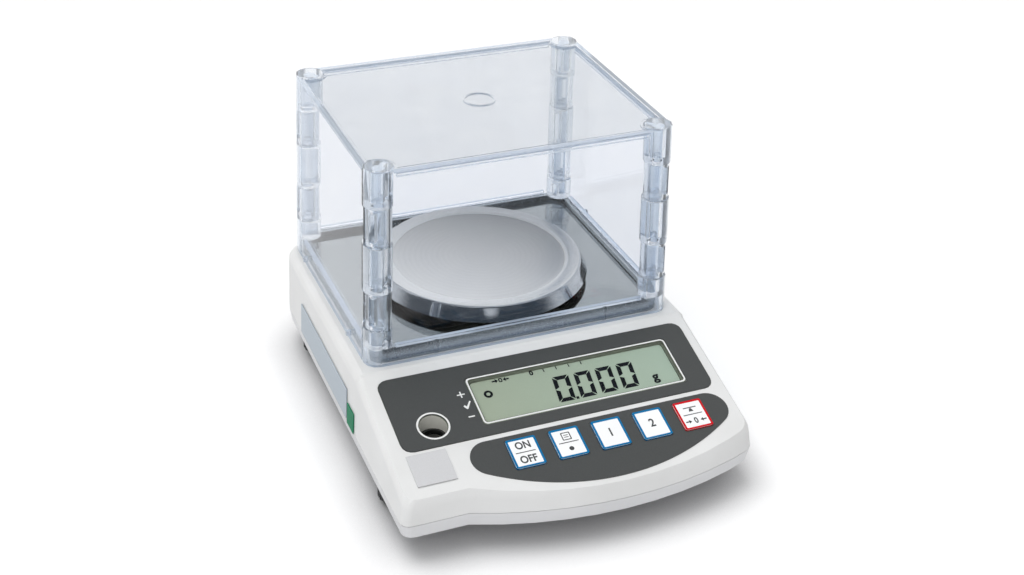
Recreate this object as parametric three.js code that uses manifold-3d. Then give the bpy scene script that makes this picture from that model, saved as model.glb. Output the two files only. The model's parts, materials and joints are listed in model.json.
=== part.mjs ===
// A precision balance: a low two-part housing with a sloped display and key panel,
// a round weighing pan on a force sensor, and a clear draught shield whose four
// walls lock together at interleaved corner knuckles and carry a drop-in lid.
// Millimetres, +Z up, +Y to the back, origin under the middle of the footprint.
import * as THREE from 'three';
import { mergeVertices } from 'three/addons/utils/BufferGeometryUtils.js';
import Module from 'manifold-3d';

const wasm = await Module();
wasm.setup();

// Clearances and common working values
const seatGap = 0.3;
const slideGap = 0.4;
const cutOverrun = 4;
const bite = 1;

// Housing in plan: straight sides that draw in to the back, a bowed front apron
const frontHalfWidth = 94;
const sideDrawIn = 3;
const rearHalfWidth = frontHalfWidth - sideDrawIn;
const housingDepth = 239;
const apronReach = 15.2;
const apronRadius = 205;
const apronCentreX = 17;
const frontLeftRadius = 5;
const frontRightRadius = 9;
const rearRadius = 18;

// Housing heights
const footClearance = 14;
const lowerCaseHeight = 9;
const partingGap = 0.3;
const ledgeZ = 58.5;
const panelStep = 1.2;
const housingWall = 2.5;
const sideDraft = 1.2;
const shoulder = 4.5;
const bottomEdge = 1.5;
const panelSlope = THREE.MathUtils.degToRad(16.3);

// Draught shield
const shieldSideMargin = 6.8;
const shieldHalfWidth = rearHalfWidth - shieldSideMargin;
const shieldFrontSetback = 96.3;
const shieldRearMargin = 5.5;
const shieldDepth = housingDepth - shieldFrontSetback - shieldRearMargin;
const shieldHeight = 106.5;
const shieldTaper = 3.2;
const shieldWall = 2.6;
const columnRadius = 7.5;
const columnBore = 3.4;
const skirtDrop = 8.2;
const railDepth = 2;
const railThickness = 1.6;
const skirtPlay = 1.3;
const skirtRibWidth = 2;
const columnRise = 0.8;
const knuckleRelief = 0.8;
const knuckleSlot = 2.8;
const knuckleWeb = 2.4;
const pintleRadius = 2.6;
const pintleLength = 3;
const railRibSpread = 47;
const railRibReach = 0.7;
const clipSpread = 40;
const clipRadius = 1.6;
const clipReach = 2.4;
const clipHeight = 5;
const lidThickness = 2.2;
const lidPlay = 0.4;
const lidLipWidth = 1.6;
const lidLipHeight = 0.7;
const lidBossRadius = 8.8;
const lidBossRim = 1.1;

// Weighing chamber floor
const rimWidth = 3.4;
const rimHeight = 3;
const floorPlate = 0.9;
const floorPlateRadius = 7;
const collarRadius = 17;
const collarHeight = 1.8;
const collarWall = 0.9;

// Weighing pan and what carries it
const panClearance = 9.6;
const panRadius = shieldDepth / 2 - panClearance;
const panFlare = 3.3;
const panRimRadius = panRadius - panFlare;
const panRimBand = 8.7;
const panDishRadius = panRimRadius - panRimBand;
const panTopZ = 75.1;
const panSkirt = 7.3;
const panSheet = 1;
const panDishDepth = 0.9;
const panRimRound = 0.8;
const panForward = 4.1;
const panSetback = shieldDepth / 2 - panForward;
const armMargin = 9;
const armReach = panDishRadius - armMargin;
const armWidth = 10;
const armThickness = 1.6;
const hubRadius = 10;
const hubHeight = 4.2;
const padCount = 4;
const padAngle = 45;
const fullTurn = 360;
const padRadius = 3.6;
const padHeight = 1.4;
const spindleRadius = 4;
const spindleTipRadius = 2.4;
const spindleTip = 3;

// Force sensor on its cast frame
const sensorWidth = 26;
const sensorHeight = 24;
const sensorHinge = 2.2;
const sensorWindow = 9;
const sensorBeam = 3;
const sensorFoot = 3;
const sensorLoadReach = 12;
const sensorRearRoom = 28.2;
const panRearReach = housingDepth - shieldFrontSetback - panSetback;
const sensorLength = panRearReach + sensorLoadReach - sensorRearRoom;
const frameMargin = 11;
const frameLength = sensorLength + frameMargin * 2;
const frameWidth = 62;
const frameThickness = 4;
const frameCorner = 7;
const framePost = 4.5;

// Panel features, x from the centre plane and w down the slope from the panel's top line
const overlaySheet = 0.6;
const overlayLeftMargin = 11;
const overlayRightMargin = 9;
const upperOverlayTop = 4.5;
const upperOverlayHeight = 45.8;
const overlayCorner = 5.5;
const displayLeftMargin = 54.7;
const displayRightMargin = 21.7;
const displayLeft = displayLeftMargin - frontHalfWidth;
const displayRight = frontHalfWidth - displayRightMargin;
const displayWidth = displayRight - displayLeft;
const displayCentreX = (displayLeft + displayRight) / 2;
const displayTop = 13.6;
const displayHeight = 30;
const displayCorner = 2;
const windowSheet = 1.4;
const windowSeat = 1.6;
const keyOverlayTop = 53.5;
const keyOverlayLeftMargin = 40.3;
const keyOverlayRightMargin = 8.6;
const keyOverlayLeft = keyOverlayLeftMargin - frontHalfWidth;
const keyOverlayRight = frontHalfWidth - keyOverlayRightMargin;
const keyOverlayBottom = 89.9;
const keyOverlayBow = 23.41508;
const keyOverlayHalf = (keyOverlayRight - keyOverlayLeft) / 2;
const keyOverlayArc = (keyOverlayHalf ** 2 + keyOverlayBow ** 2) / (keyOverlayBow * 2);
const keyOverlayArcX = (keyOverlayLeft + keyOverlayRight) / 2;
const keyOverlayCorner = 9;
const keyOverlayCornerShare = 0.7;
const keyCount = 5;
const keyLeftMargin = 27.6;
const keyRightMargin = 20.3;
const keySpacing = 7.2;
const keyFirstX = keyOverlayLeft + keyLeftMargin;
const keyLastX = keyOverlayRight - keyRightMargin;
const keyPitch = (keyLastX - keyFirstX) / (keyCount - 1);
const keyWidth = keyPitch - keySpacing;
const keyLength = 17.4;
const keyTop = 56.2;
const keyCorner = 1.3;
const keyProud = 0.8;
const keyFlange = 1.1;
const keyFlangeLip = 1.2;
const keyCrown = 0.4;
const overlayTop = 0.3;
const keyStemRadius = 2;
const keyStem = 2.4;
const levelMargin = 30;
const levelX = levelMargin - frontHalfWidth;
const levelTop = 37.8;
const levelRadius = 7;
const levelTubeWall = 1.5;
const levelDepth = 6;
const levelTubeFloor = 1.6;
const vialHeight = 7;
const vialWall = 1.2;
const lensHeight = 1.4;
const ratingMargin = 10.9;
const ratingLeft = ratingMargin - frontHalfWidth;
const ratingTop = 52.4;
const ratingWidth = 20;
const ratingHeight = 18.4;
const stickerSheet = 0.4;

// Electronics
const boardThickness = 1.6;
const mainBoardMargin = 33;
const mainBoardWidth = (frontHalfWidth - mainBoardMargin) * 2;
const mainBoardDepth = 46;
const mainBoardZ = 21;
const standoffRadius = 3;
const keyBoardMargin = 7.4;
const keyBoardWidth = keyLastX - keyFirstX + keyBoardMargin * 2;
const keyBoardHeight = 20;
const railWidth = 3;
const switchSize = 6;
const switchHeight = 3.4;
const switchButtonRadius = 1.7;
const switchButton = 1;
const switchGap = 0.7;
const lcdPlay = 0.4;
const lcdWidth = displayWidth - (windowSeat + lcdPlay) * 2;
const lcdHeight = displayHeight - (windowSeat + lcdPlay) * 2;
const lcdThickness = 2.8;
const holderWall = 2;
const holderDepth = 6;

// Rear sockets
const socketZ = 34;
const powerSocketMargin = 39;
const powerSocketX = powerSocketMargin - rearHalfWidth;
const powerSocketRadius = 4.6;
const powerBoreRadius = 3;
const powerBoreDepth = 9;
const powerPinRadius = 1;
const powerBodyLength = 13;
const powerFlangeRadius = 6;
const socketFlange = 1.2;
const dataSocketMargin = 45;
const dataSocketX = rearHalfWidth - dataSocketMargin;
const dataShellWidth = 17;
const dataShellHeight = 8.4;
const dataFlangeWidth = 31;
const dataFlangeHeight = 12.6;
const dataBodyLength = 9;
const dataShellSlant = 1.2;
const dataHollow = 5;
const dataPinRow = 5;
const dataPinPitch = 2.7;
const dataPinTop = 1.4;
const dataPinRadius = 0.5;

// Feet, inserts and case screws
const frontFootMargin = 13.5;
const frontFootX = frontHalfWidth - frontFootMargin;
const frontFootSetback = 64;
const rearFootSideMargin = 13;
const rearFootX = rearHalfWidth - rearFootSideMargin;
const rearFootMargin = 31.5;
const knobRadius = 9.6;
const knobHeight = 7.4;
const knobChamfer = 2.2;
const knurlCount = 18;
const knurlDepth = 0.8;
const studRadius = 3;
const studLength = 15;
const soleRadius = 6.8;
const soleHeight = 1.6;
const solePegRadius = 2.4;
const solePeg = 2;
const insertRadius = 4.6;
const insertHeight = 8.6;
const insertWall = 1.35;
const bossWall = 2;
const screwHeadRadius = 3.2;
const screwHeadHeight = 2.2;
const screwShankRadius = 1.5;
const screwShank = 13;
const screwSocketRadius = 1.3;
const screwSocketDepth = 1.2;
const screwSocketSides = 6;
const frontScrewMargin = 14;
const frontScrewX = frontHalfWidth - frontScrewMargin;
const frontScrewSetback = 24;
const rearScrewSideMargin = 13;
const rearScrewX = rearHalfWidth - rearScrewSideMargin;
const rearScrewMargin = 12;

// Side label and seal
const labelStartSetback = 106;
const labelLength = 88;
const labelBottomZ = 25;
const labelHeight = 17.5;
const sealLength = 11;
const sealHeight = 12;
const sealGap = 1.5;

// Facet counts
const roundSteps = 12;
const wellSteps = 24;
const keyCornerSteps = 2;
const cornerSteps = 4;
const apronSteps = 10;
const panSteps = 56;
const columnSteps = 12;
const shoulderSteps = 3;
const straightTurn = 1e-6;
const knuckleShares = [0, 0.19, 0.38, 0.62, 0.81, 1];

// Places worked out from the dimensions above
const frontY = -housingDepth / 2 + apronReach;
const apronY = -housingDepth / 2;
const rearY = housingDepth / 2;
const apronCentreY = apronY + apronRadius;
const partingZ = footClearance + lowerCaseHeight;
const shieldFrontY = -housingDepth / 2 + shieldFrontSetback;
const shieldRearY = rearY - shieldRearMargin;
const shieldBottomZ = ledgeZ + seatGap;
const shieldTopZ = shieldBottomZ + shieldHeight;
const crestY = shieldFrontY - shieldWall;
const panelTopY = crestY - panelStep;
const panelTopZ = ledgeZ - panelStep;
const rimTopZ = shieldBottomZ + skirtDrop - seatGap;
const floorZ = rimTopZ - rimHeight;
const recessZ = floorZ - floorPlate - seatGap;
const panY = shieldFrontY + panSetback;
const panBottomZ = panTopZ - panSkirt;
const panUnderZ = panTopZ - panDishDepth - panSheet;
const padTopZ = panUnderZ - seatGap;
const armTopZ = padTopZ - padHeight - seatGap;
const caseFloorZ = footClearance + housingWall;
const frameTopZ = caseFloorZ + seatGap + framePost + frameThickness;
const sensorTopZ = frameTopZ + seatGap + sensorFoot + sensorHeight;
const vialTopZ = panelTopZ - levelTop * Math.sin(panelSlope) - levelDepth;
const vialBottomZ = vialTopZ - vialHeight;
const boardY = apronY + frontFootSetback;
const flangeTop = -housingWall - seatGap;
const stemBottom = flangeTop - keyFlange - keyStem;
const lcdTop = -windowSheet - seatGap;
const switchTop = stemBottom - switchGap - switchButton;
const keyBoardTop = switchTop - switchHeight - seatGap;
const keyBoardX = keyFirstX + (keyPitch * (keyCount - 1)) / 2;
const keyBoardMiddle = keyTop + keyLength / 2;

// Colours and finishes
const housingPlastic = finish(0xdfe1df, 0.5, 0);
const lowerPlastic = finish(0xdcdee0, 0.5, 0);
const clearPlastic = finish(0xdfe9f5, 0.05, 0, 0.35);
const steel = finish(0xb9bdc0, 0.28, 0.9);
const satinSteel = finish(0xa9b0b0, 0.35, 0.85);
const overlayFilm = finish(0x515352, 0.55, 0);
const blackRubber = finish(0x17181a, 0.8, 0);
const blackPlastic = finish(0x1d1f21, 0.6, 0);
const keyPlastic = finish(0xf2f4f5, 0.4, 0);
const lcdGreen = finish(0xa9b9a4, 0.3, 0);
const boardGreen = finish(0x1f5a3a, 0.6, 0);
const aluminium = finish(0xb4b7ba, 0.4, 0.8);
const brass = finish(0xb99a4f, 0.35, 0.9);
const labelBlue = finish(0xc3d3e0, 0.5, 0);
const sealGreen = finish(0x0f8a66, 0.5, 0);
const labelGrey = finish(0xcfd1d2, 0.5, 0);
const creamPlastic = finish(0xd9d6c8, 0.5, 0);

const balance = new THREE.Group();
const panelFrame = new THREE.Group();
panelFrame.position.set(0, panelTopY, panelTopZ);
panelFrame.rotation.x = panelSlope;
balance.add(panelFrame);

function finish(color, roughness, metalness, opacity = 1) {
  return new THREE.MeshStandardMaterial({
    color, roughness, metalness, opacity, transparent: opacity < 1,
  });
}

// A closed geometry becomes a solid: shared corners merged, faces turned outwards
function solid(geometry) {
  const bare = geometry.clone();
  bare.deleteAttribute('normal');
  bare.deleteAttribute('uv');
  const merged = mergeVertices(bare);
  const place = merged.attributes.position;
  const corners = merged.index.array;
  const kept = [];
  let volume = 0;
  const [a, b, c] = [new THREE.Vector3(), new THREE.Vector3(), new THREE.Vector3()];
  for (let i = 0; i < corners.length; i += 3) {
    const [p, q, r] = [corners[i], corners[i + 1], corners[i + 2]];
    if (p === q || q === r || r === p) continue;
    kept.push([p, q, r]);
    a.fromBufferAttribute(place, p);
    b.fromBufferAttribute(place, q);
    c.fromBufferAttribute(place, r);
    volume += a.dot(b.cross(c));
  }
  const triangles = volume < 0 ? kept.map(([p, q, r]) => [p, r, q]) : kept;
  return new wasm.Manifold(new wasm.Mesh({
    numProp: 3,
    vertProperties: new Float32Array(place.array),
    triVerts: new Uint32Array(triangles.flat()),
  }));
}

function geometryOf(body) {
  const mesh = body.getMesh();
  const geometry = new THREE.BufferGeometry();
  geometry.setAttribute('position', new THREE.Float32BufferAttribute(mesh.vertProperties, 3));
  geometry.setIndex(Array.from(mesh.triVerts));
  geometry.computeVertexNormals();
  return geometry;
}

function addPiece(name, body, material, parent = balance) {
  const mesh = new THREE.Mesh(geometryOf(body), material);
  mesh.name = name;
  parent.add(mesh);
  return mesh;
}

const join = (...bodies) => bodies.reduce((sum, body) => sum.add(body));
const cut = (body, ...tools) => tools.reduce((rest, tool) => rest.subtract(tool), body);

// Outline helpers: corners are [x, y, radius], the result is a list of Vector2
function roundedOutline(corners, steps = cornerSteps) {
  const points = [];
  corners.forEach(([x, y, radius], i) => {
    const corner = new THREE.Vector2(x, y);
    if (radius <= 0) {
      points.push(corner);
      return;
    }
    const before = corners[(i + corners.length - 1) % corners.length];
    const after = corners[(i + 1) % corners.length];
    const back = new THREE.Vector2(before[0], before[1]).sub(corner).normalize();
    const ahead = new THREE.Vector2(after[0], after[1]).sub(corner).normalize();
    const half = Math.acos(THREE.MathUtils.clamp(back.dot(ahead), -1, 1)) / 2;
    const reach = radius / Math.tan(half);
    const centre = back.clone().add(ahead).normalize()
      .multiplyScalar(radius / Math.sin(half)).add(corner);
    const start = back.multiplyScalar(reach).add(corner).sub(centre);
    const end = ahead.multiplyScalar(reach).add(corner).sub(centre);
    const sweep = Math.atan2(start.cross(end), start.dot(end));
    for (let k = 0; k <= steps; k += 1) {
      const turned = start.clone().rotateAround(new THREE.Vector2(), (sweep * k) / steps);
      points.push(turned.add(centre));
    }
  });
  return points;
}

function rectangle(left, right, low, high, radius = 0, steps = cornerSteps) {
  return roundedOutline(
    [[left, low, radius], [right, low, radius], [right, high, radius], [left, high, radius]],
    steps,
  );
}

function circle(radius, x = 0, y = 0, steps = roundSteps) {
  return Array.from({ length: steps }, (_, k) => {
    const angle = (2 * Math.PI * k) / steps;
    return new THREE.Vector2(x + radius * Math.cos(angle), y + radius * Math.sin(angle));
  });
}

function prism(outline, low, high) {
  const shape = new THREE.Shape(outline);
  const geometry = new THREE.ExtrudeGeometry(shape, { depth: high - low, bevelEnabled: false });
  return solid(geometry.translate(0, 0, low));
}

// An outline drawn in Y and Z, carried along X
function prismAlongX(outline, low, high) {
  const shape = new THREE.Shape(outline);
  const geometry = new THREE.ExtrudeGeometry(shape, { depth: high - low, bevelEnabled: false });
  const turn = new THREE.Matrix4().makeBasis(
    new THREE.Vector3(0, 1, 0), new THREE.Vector3(0, 0, 1), new THREE.Vector3(1, 0, 0),
  );
  return solid(geometry.translate(0, 0, low).applyMatrix4(turn));
}

// An outline drawn in X and Z, carried along Y
function prismAlongY(outline, low, high) {
  const shape = new THREE.Shape(outline);
  const geometry = new THREE.ExtrudeGeometry(shape, { depth: high - low, bevelEnabled: false });
  const turn = new THREE.Matrix4().makeBasis(
    new THREE.Vector3(1, 0, 0), new THREE.Vector3(0, 0, 1), new THREE.Vector3(0, -1, 0),
  );
  return solid(geometry.translate(0, 0, -high).applyMatrix4(turn));
}

// A profile of [radius, height] pairs turned about the vertical axis through x, y
function turned(profile, x = 0, y = 0, steps = roundSteps) {
  const points = profile.map(([radius, height]) => new THREE.Vector2(radius, height));
  const closed = profile[0][0] === 0 ? points : [...points, points[0].clone()];
  const geometry = new THREE.LatheGeometry(closed, steps);
  return solid(geometry.rotateX(Math.PI / 2).translate(x, y, 0));
}

const cylinder = (radius, low, high, x = 0, y = 0, steps = roundSteps) => (
  turned([[0, low], [radius, low], [radius, high], [0, high]], x, y, steps)
);

// A skin through rings of equal point counts, closed by flat caps
function loft(rings) {
  const count = rings[0].length;
  const positions = rings.flat().flatMap((p) => [p.x, p.y, p.z]);
  const index = [];
  for (let r = 0; r + 1 < rings.length; r += 1) {
    for (let k = 0; k < count; k += 1) {
      const next = (k + 1) % count;
      const [p, q] = [r * count + k, r * count + next];
      index.push(p, q, q + count, p, q + count, p + count);
    }
  }
  const flat = (ring) => ring.map((p) => new THREE.Vector2(p.x, p.y));
  const last = (rings.length - 1) * count;
  THREE.ShapeUtils.triangulateShape(flat(rings[0]), []).forEach(([p, q, r]) => {
    index.push(p, r, q);
  });
  THREE.ShapeUtils.triangulateShape(flat(rings[rings.length - 1]), []).forEach(([p, q, r]) => {
    index.push(last + p, last + q, last + r);
  });
  const geometry = new THREE.BufferGeometry();
  geometry.setAttribute('position', new THREE.Float32BufferAttribute(positions, 3));
  geometry.setIndex(index);
  return solid(geometry);
}

const level = (outline, z) => outline.map((p) => new THREE.Vector3(p.x, p.y, z));

// Half width of the housing at a distance from its front corners
function halfWidthAt(y) {
  const apronEndY = apronCentreY - Math.sqrt(
    apronRadius ** 2 - (frontHalfWidth - apronCentreX) ** 2,
  );
  const share = (y - apronEndY) / (rearY - apronEndY);
  return THREE.MathUtils.lerp(frontHalfWidth, rearHalfWidth, share);
}

// Moves every edge of a corner list inwards by the same amount
function inwards(corners, inset) {
  const edge = ([ax, ay], [bx, by]) => {
    const along = new THREE.Vector2(bx - ax, by - ay).normalize();
    const start = new THREE.Vector2(ax - inset * along.y, ay + inset * along.x);
    return { start, along };
  };
  return corners.map((corner, i) => {
    const before = edge(corners[(i + corners.length - 1) % corners.length], corner);
    const after = edge(corner, corners[(i + 1) % corners.length]);
    const turn = before.along.cross(after.along);
    if (Math.abs(turn) < straightTurn) return [after.start.x, after.start.y, corner[2]];
    const reach = after.start.clone().sub(before.start).cross(after.along) / turn;
    const place = before.start.clone().addScaledVector(before.along, reach);
    return [place.x, place.y, corner[2]];
  });
}

// The housing's plan outline, drawn in by an inset
function housingOutline(inset) {
  const apron = (x) => apronCentreY - Math.sqrt(apronRadius ** 2 - (x - apronCentreX) ** 2);
  const startX = apronCentreX - Math.sqrt(apronRadius ** 2 - (apronCentreY - frontY) ** 2);
  const corners = [[-frontHalfWidth, frontY, frontLeftRadius], [startX, frontY, 0]];
  for (let k = 1; k < apronSteps; k += 1) {
    const x = THREE.MathUtils.lerp(startX, frontHalfWidth, k / apronSteps);
    corners.push([x, apron(x), 0]);
  }
  corners.push([frontHalfWidth, apron(frontHalfWidth), frontRightRadius]);
  [panelTopY, crestY].forEach((y) => corners.push([halfWidthAt(y), y, 0]));
  corners.push([rearHalfWidth, rearY, rearRadius - inset]);
  corners.push([-rearHalfWidth, rearY, rearRadius - inset]);
  [crestY, panelTopY].forEach((y) => corners.push([-halfWidthAt(y), y, 0]));
  return roundedOutline(inwards(corners, inset));
}

// Height of the housing's top surface: a level deck, a small step and the sloped panel
function deckHeight(y) {
  if (y >= crestY) return ledgeZ;
  if (y >= panelTopY) return ledgeZ - (crestY - y);
  return panelTopZ - (panelTopY - y) * Math.tan(panelSlope);
}

// A point of the panel's surface in the object's frame
function panelPoint(x, w) {
  return new THREE.Vector3(
    x, panelTopY - w * Math.cos(panelSlope), panelTopZ - w * Math.sin(panelSlope),
  );
}

// The form under the deck and panel, with soft shoulders, drawn in by a wall
function housingForm(wall, startZ) {
  const rings = [level(housingOutline(wall), startZ)];
  for (let k = 0; k <= shoulderSteps; k += 1) {
    const angle = (Math.PI / 2) * (k / shoulderSteps);
    const drawn = sideDraft + shoulder * (1 - Math.cos(angle));
    const drop = wall + shoulder * (1 - Math.sin(angle));
    rings.push(housingOutline(wall + drawn).map(
      (p) => new THREE.Vector3(p.x, p.y, deckHeight(p.y) - drop),
    ));
  }
  const topRing = rings[rings.length - 1];
  const raised = topRing.map((p) => new THREE.Vector3(p.x, p.y, ledgeZ + cutOverrun));
  const skin = loft([...rings, raised]);
  const farY = rearY + cutOverrun;
  const nearY = apronY - cutOverrun;
  const profile = [
    [nearY, 0], [farY, 0], [farY, ledgeZ - wall], [crestY, ledgeZ - wall],
    [panelTopY, panelTopZ - wall], [nearY, deckHeight(nearY) - wall],
  ].map(([y, z]) => new THREE.Vector2(y, z));
  const reach = frontHalfWidth + cutOverrun;
  return skin.intersect(prismAlongX(profile, -reach, reach));
}

// Rectangle inside the shield's walls at its foot, drawn in by an inset
function chamberOutline(inset, radius) {
  const side = shieldHalfWidth - shieldWall - inset;
  return rectangle(
    -side, side, shieldFrontY + shieldWall + inset, shieldRearY - shieldWall - inset, radius,
  );
}

// Tools cut square to the panel: an outline in the panel's own x and w
function panelTool(outline, low, high) {
  const flipped = outline.map((p) => new THREE.Vector2(p.x, -p.y));
  panelFrame.updateMatrix();
  const shape = new THREE.Shape(flipped);
  const geometry = new THREE.ExtrudeGeometry(shape, { depth: high - low, bevelEnabled: false });
  return solid(geometry.translate(0, 0, low).applyMatrix4(panelFrame.matrix));
}

// A piece that lies on the panel, kept in the panel's own frame
function panelPiece(outline, low, high) {
  return prism(outline.map((p) => new THREE.Vector2(p.x, -p.y)), low, high);
}

const keyCentres = Array.from({ length: keyCount }, (_, k) => keyFirstX + keyPitch * k);
const keyMiddle = keyTop + keyLength / 2;
const keyOutline = (x, grow) => rectangle(
  x - keyWidth / 2 - grow, x + keyWidth / 2 + grow,
  keyTop - grow, keyTop + keyLength + grow, keyCorner, keyCornerSteps,
);
const displayOutline = (grow) => rectangle(
  displayCentreX - displayWidth / 2 - grow, displayCentreX + displayWidth / 2 + grow,
  displayTop - grow, displayTop + displayHeight + grow, displayCorner,
);
const upperOverlayOutline = (grow) => rectangle(
  overlayLeftMargin - frontHalfWidth - grow, frontHalfWidth - overlayRightMargin + grow,
  upperOverlayTop - grow, upperOverlayTop + upperOverlayHeight + grow, overlayCorner + grow,
);

// The key overlay: straight along the top, bowed along the bottom
function keyOverlayOutline(grow) {
  const radius = keyOverlayArc + grow;
  const arcCentre = keyOverlayBottom - keyOverlayArc;
  const bow = (x) => arcCentre + Math.sqrt(radius ** 2 - (x - keyOverlayArcX) ** 2);
  const [left, right] = [keyOverlayLeft - grow, keyOverlayRight + grow];
  const endHeight = bow(right) - keyOverlayTop + grow;
  const corner = Math.min(keyOverlayCorner, endHeight * keyOverlayCornerShare);
  const corners = [
    [left, keyOverlayTop - grow, corner / 2],
    [right, keyOverlayTop - grow, corner],
    [right, bow(right), corner / 2],
  ];
  for (let k = 1; k < apronSteps; k += 1) {
    const x = THREE.MathUtils.lerp(right, left, k / apronSteps);
    corners.push([x, bow(x), 0]);
  }
  corners.push([left, bow(left), corner / 4]);
  return roundedOutline(corners);
}

const ratingOutline = (grow) => rectangle(
  ratingLeft - grow, ratingLeft + ratingWidth + grow,
  ratingTop - grow, ratingTop + ratingHeight + grow,
);

const footPlaces = [
  ['front_left', -frontFootX, apronY + frontFootSetback],
  ['front_right', frontFootX, apronY + frontFootSetback],
  ['rear_left', -rearFootX, rearY - rearFootMargin],
  ['rear_right', rearFootX, rearY - rearFootMargin],
];
const screwPlaces = [
  ['front_left', -frontScrewX, apronY + frontScrewSetback + apronReach],
  ['front_right', frontScrewX, apronY + frontScrewSetback + apronReach],
  ['rear_left', -rearScrewX, rearY - rearScrewMargin - shoulder],
  ['rear_right', rearScrewX, rearY - rearScrewMargin - shoulder],
];

const powerOutline = (grow) => circle(powerSocketRadius + grow, powerSocketX, socketZ);
function dataOutline(grow) {
  const half = dataShellWidth / 2 + grow;
  const tall = dataShellHeight / 2 + grow;
  return [
    [dataSocketX - half + dataShellSlant, socketZ - tall],
    [dataSocketX + half - dataShellSlant, socketZ - tall],
    [dataSocketX + half, socketZ + tall],
    [dataSocketX - half, socketZ + tall],
  ].map(([x, z]) => new THREE.Vector2(x, z));
}

function buildUpperHousing() {
  const outer = housingForm(0, partingZ + partingGap);
  const plateau = prism(chamberOutline(skirtPlay, columnRadius), ledgeZ - housingWall, rimTopZ);
  const recess = prism(
    chamberOutline(skirtPlay + rimWidth, floorPlateRadius), recessZ, rimTopZ + cutOverrun,
  );
  const inside = housingForm(housingWall, partingZ - cutOverrun);
  const underFloor = prism(
    chamberOutline(skirtPlay + rimWidth + housingWall, floorPlateRadius),
    ledgeZ - housingWall - cutOverrun, recessZ - housingWall,
  );
  const bosses = screwPlaces.map(([, x, y]) => cut(
    cylinder(screwHeadRadius + bossWall / 2, partingZ + cutOverrun, deckHeight(y) - bite, x, y),
    cylinder(screwShankRadius + seatGap, partingZ - cutOverrun,
      footClearance + screwHeadHeight + screwShank + bossWall, x, y),
  ));
  const trimmedBosses = bosses.map((boss) => boss.intersect(
    housingForm(housingWall / 2, partingZ),
  ));
  const levelPlace = panelPoint(levelX, levelTop);
  const levelTube = cylinder(
    levelRadius + levelTubeWall, vialBottomZ - seatGap - levelTubeFloor,
    levelPlace.z + cutOverrun, levelX, levelPlace.y, wellSteps,
  ).intersect(housingForm(housingWall / 2, partingZ));
  const boardRails = [-1, 1].map((side) => {
    const x = keyBoardX + side * keyPitch * (keyCount / 2 - 1);
    return panelTool(
      rectangle(x - railWidth / 2, x + railWidth / 2,
        keyBoardMiddle - keyBoardHeight / 4, keyBoardMiddle + keyBoardHeight / 4),
      keyBoardTop + seatGap, -housingWall / 2,
    );
  });
  const shell = join(
    cut(join(outer, plateau), inside, underFloor), levelTube, ...boardRails, ...trimmedBosses,
  );
  const pocket = -overlaySheet;
  const deep = -housingWall - holderDepth;
  return cut(
    shell,
    recess,
    cylinder(collarRadius - seatGap * 2, ledgeZ, floorZ, 0, panY),
    cylinder(levelRadius, vialBottomZ - seatGap, ledgeZ, levelX, levelPlace.y, wellSteps),
    panelTool(upperOverlayOutline(seatGap), pocket, cutOverrun),
    panelTool(keyOverlayOutline(seatGap), pocket, cutOverrun),
    panelTool(displayOutline(seatGap), -windowSheet - seatGap, cutOverrun),
    panelTool(displayOutline(-windowSeat), deep, cutOverrun),
    ...keyCentres.map((x) => panelTool(keyOutline(x, slideGap), deep, cutOverrun)),
    prismAlongY(powerOutline(slideGap), rearY - rearRadius, rearY + cutOverrun),
    prismAlongY(dataOutline(slideGap), rearY - rearRadius, rearY + cutOverrun),
  );
}

function buildLowerHousing() {
  const body = (wall, low, high) => loft([
    level(housingOutline(wall + sideDraft + bottomEdge), low),
    level(housingOutline(wall + sideDraft), low + bottomEdge),
    level(housingOutline(wall), high),
  ]);
  const tub = cut(
    body(0, footClearance, partingZ),
    body(housingWall, caseFloorZ, partingZ + cutOverrun),
  );
  const tongueTop = partingZ + lowerCaseHeight / 4;
  const tongue = cut(
    prism(housingOutline(housingWall + seatGap), caseFloorZ, tongueTop)
      .intersect(housingForm(housingWall + slideGap, caseFloorZ - bite)),
    prism(housingOutline(housingWall + seatGap + bossWall / 2), caseFloorZ - bite, tongueTop + bite),
  );
  const footBosses = footPlaces.map(([, x, y]) => cylinder(
    insertRadius + seatGap + bossWall, footClearance, footClearance + insertHeight + bossWall,
    x, y,
  ));
  const screwBosses = screwPlaces.map(([, x, y]) => cylinder(
    screwHeadRadius + bossWall, footClearance, partingZ + cutOverrun - seatGap, x, y,
  ));
  const standoffs = boardCorners().map(([x, y]) => cylinder(
    standoffRadius, caseFloorZ - bite, mainBoardZ - seatGap, x, y,
  ));
  const solidTub = join(tub, tongue, ...footBosses, ...screwBosses, ...standoffs);
  const footHoles = footPlaces.flatMap(([, x, y]) => [
    cylinder(insertRadius + seatGap, footClearance - bite, footClearance + insertHeight, x, y),
    cylinder(studRadius + slideGap, footClearance, partingZ + cutOverrun, x, y),
  ]);
  const screwHoles = screwPlaces.flatMap(([, x, y]) => [
    cylinder(screwHeadRadius + seatGap, footClearance - bite,
      footClearance + screwHeadHeight + seatGap * 2, x, y),
    cylinder(screwShankRadius + seatGap, footClearance, partingZ + cutOverrun * 2, x, y),
  ]);
  return cut(
    solidTub,
    ...footHoles,
    ...screwHoles,
  );
}

function boardCorners() {
  const x = mainBoardWidth / 2 - standoffRadius * 2;
    return [-1, 1].flatMap((side) => [-1, 1].map((end) => [
    side * x, boardY + end * (mainBoardDepth / 2 - standoffRadius * 2),
  ]));
}

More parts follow.
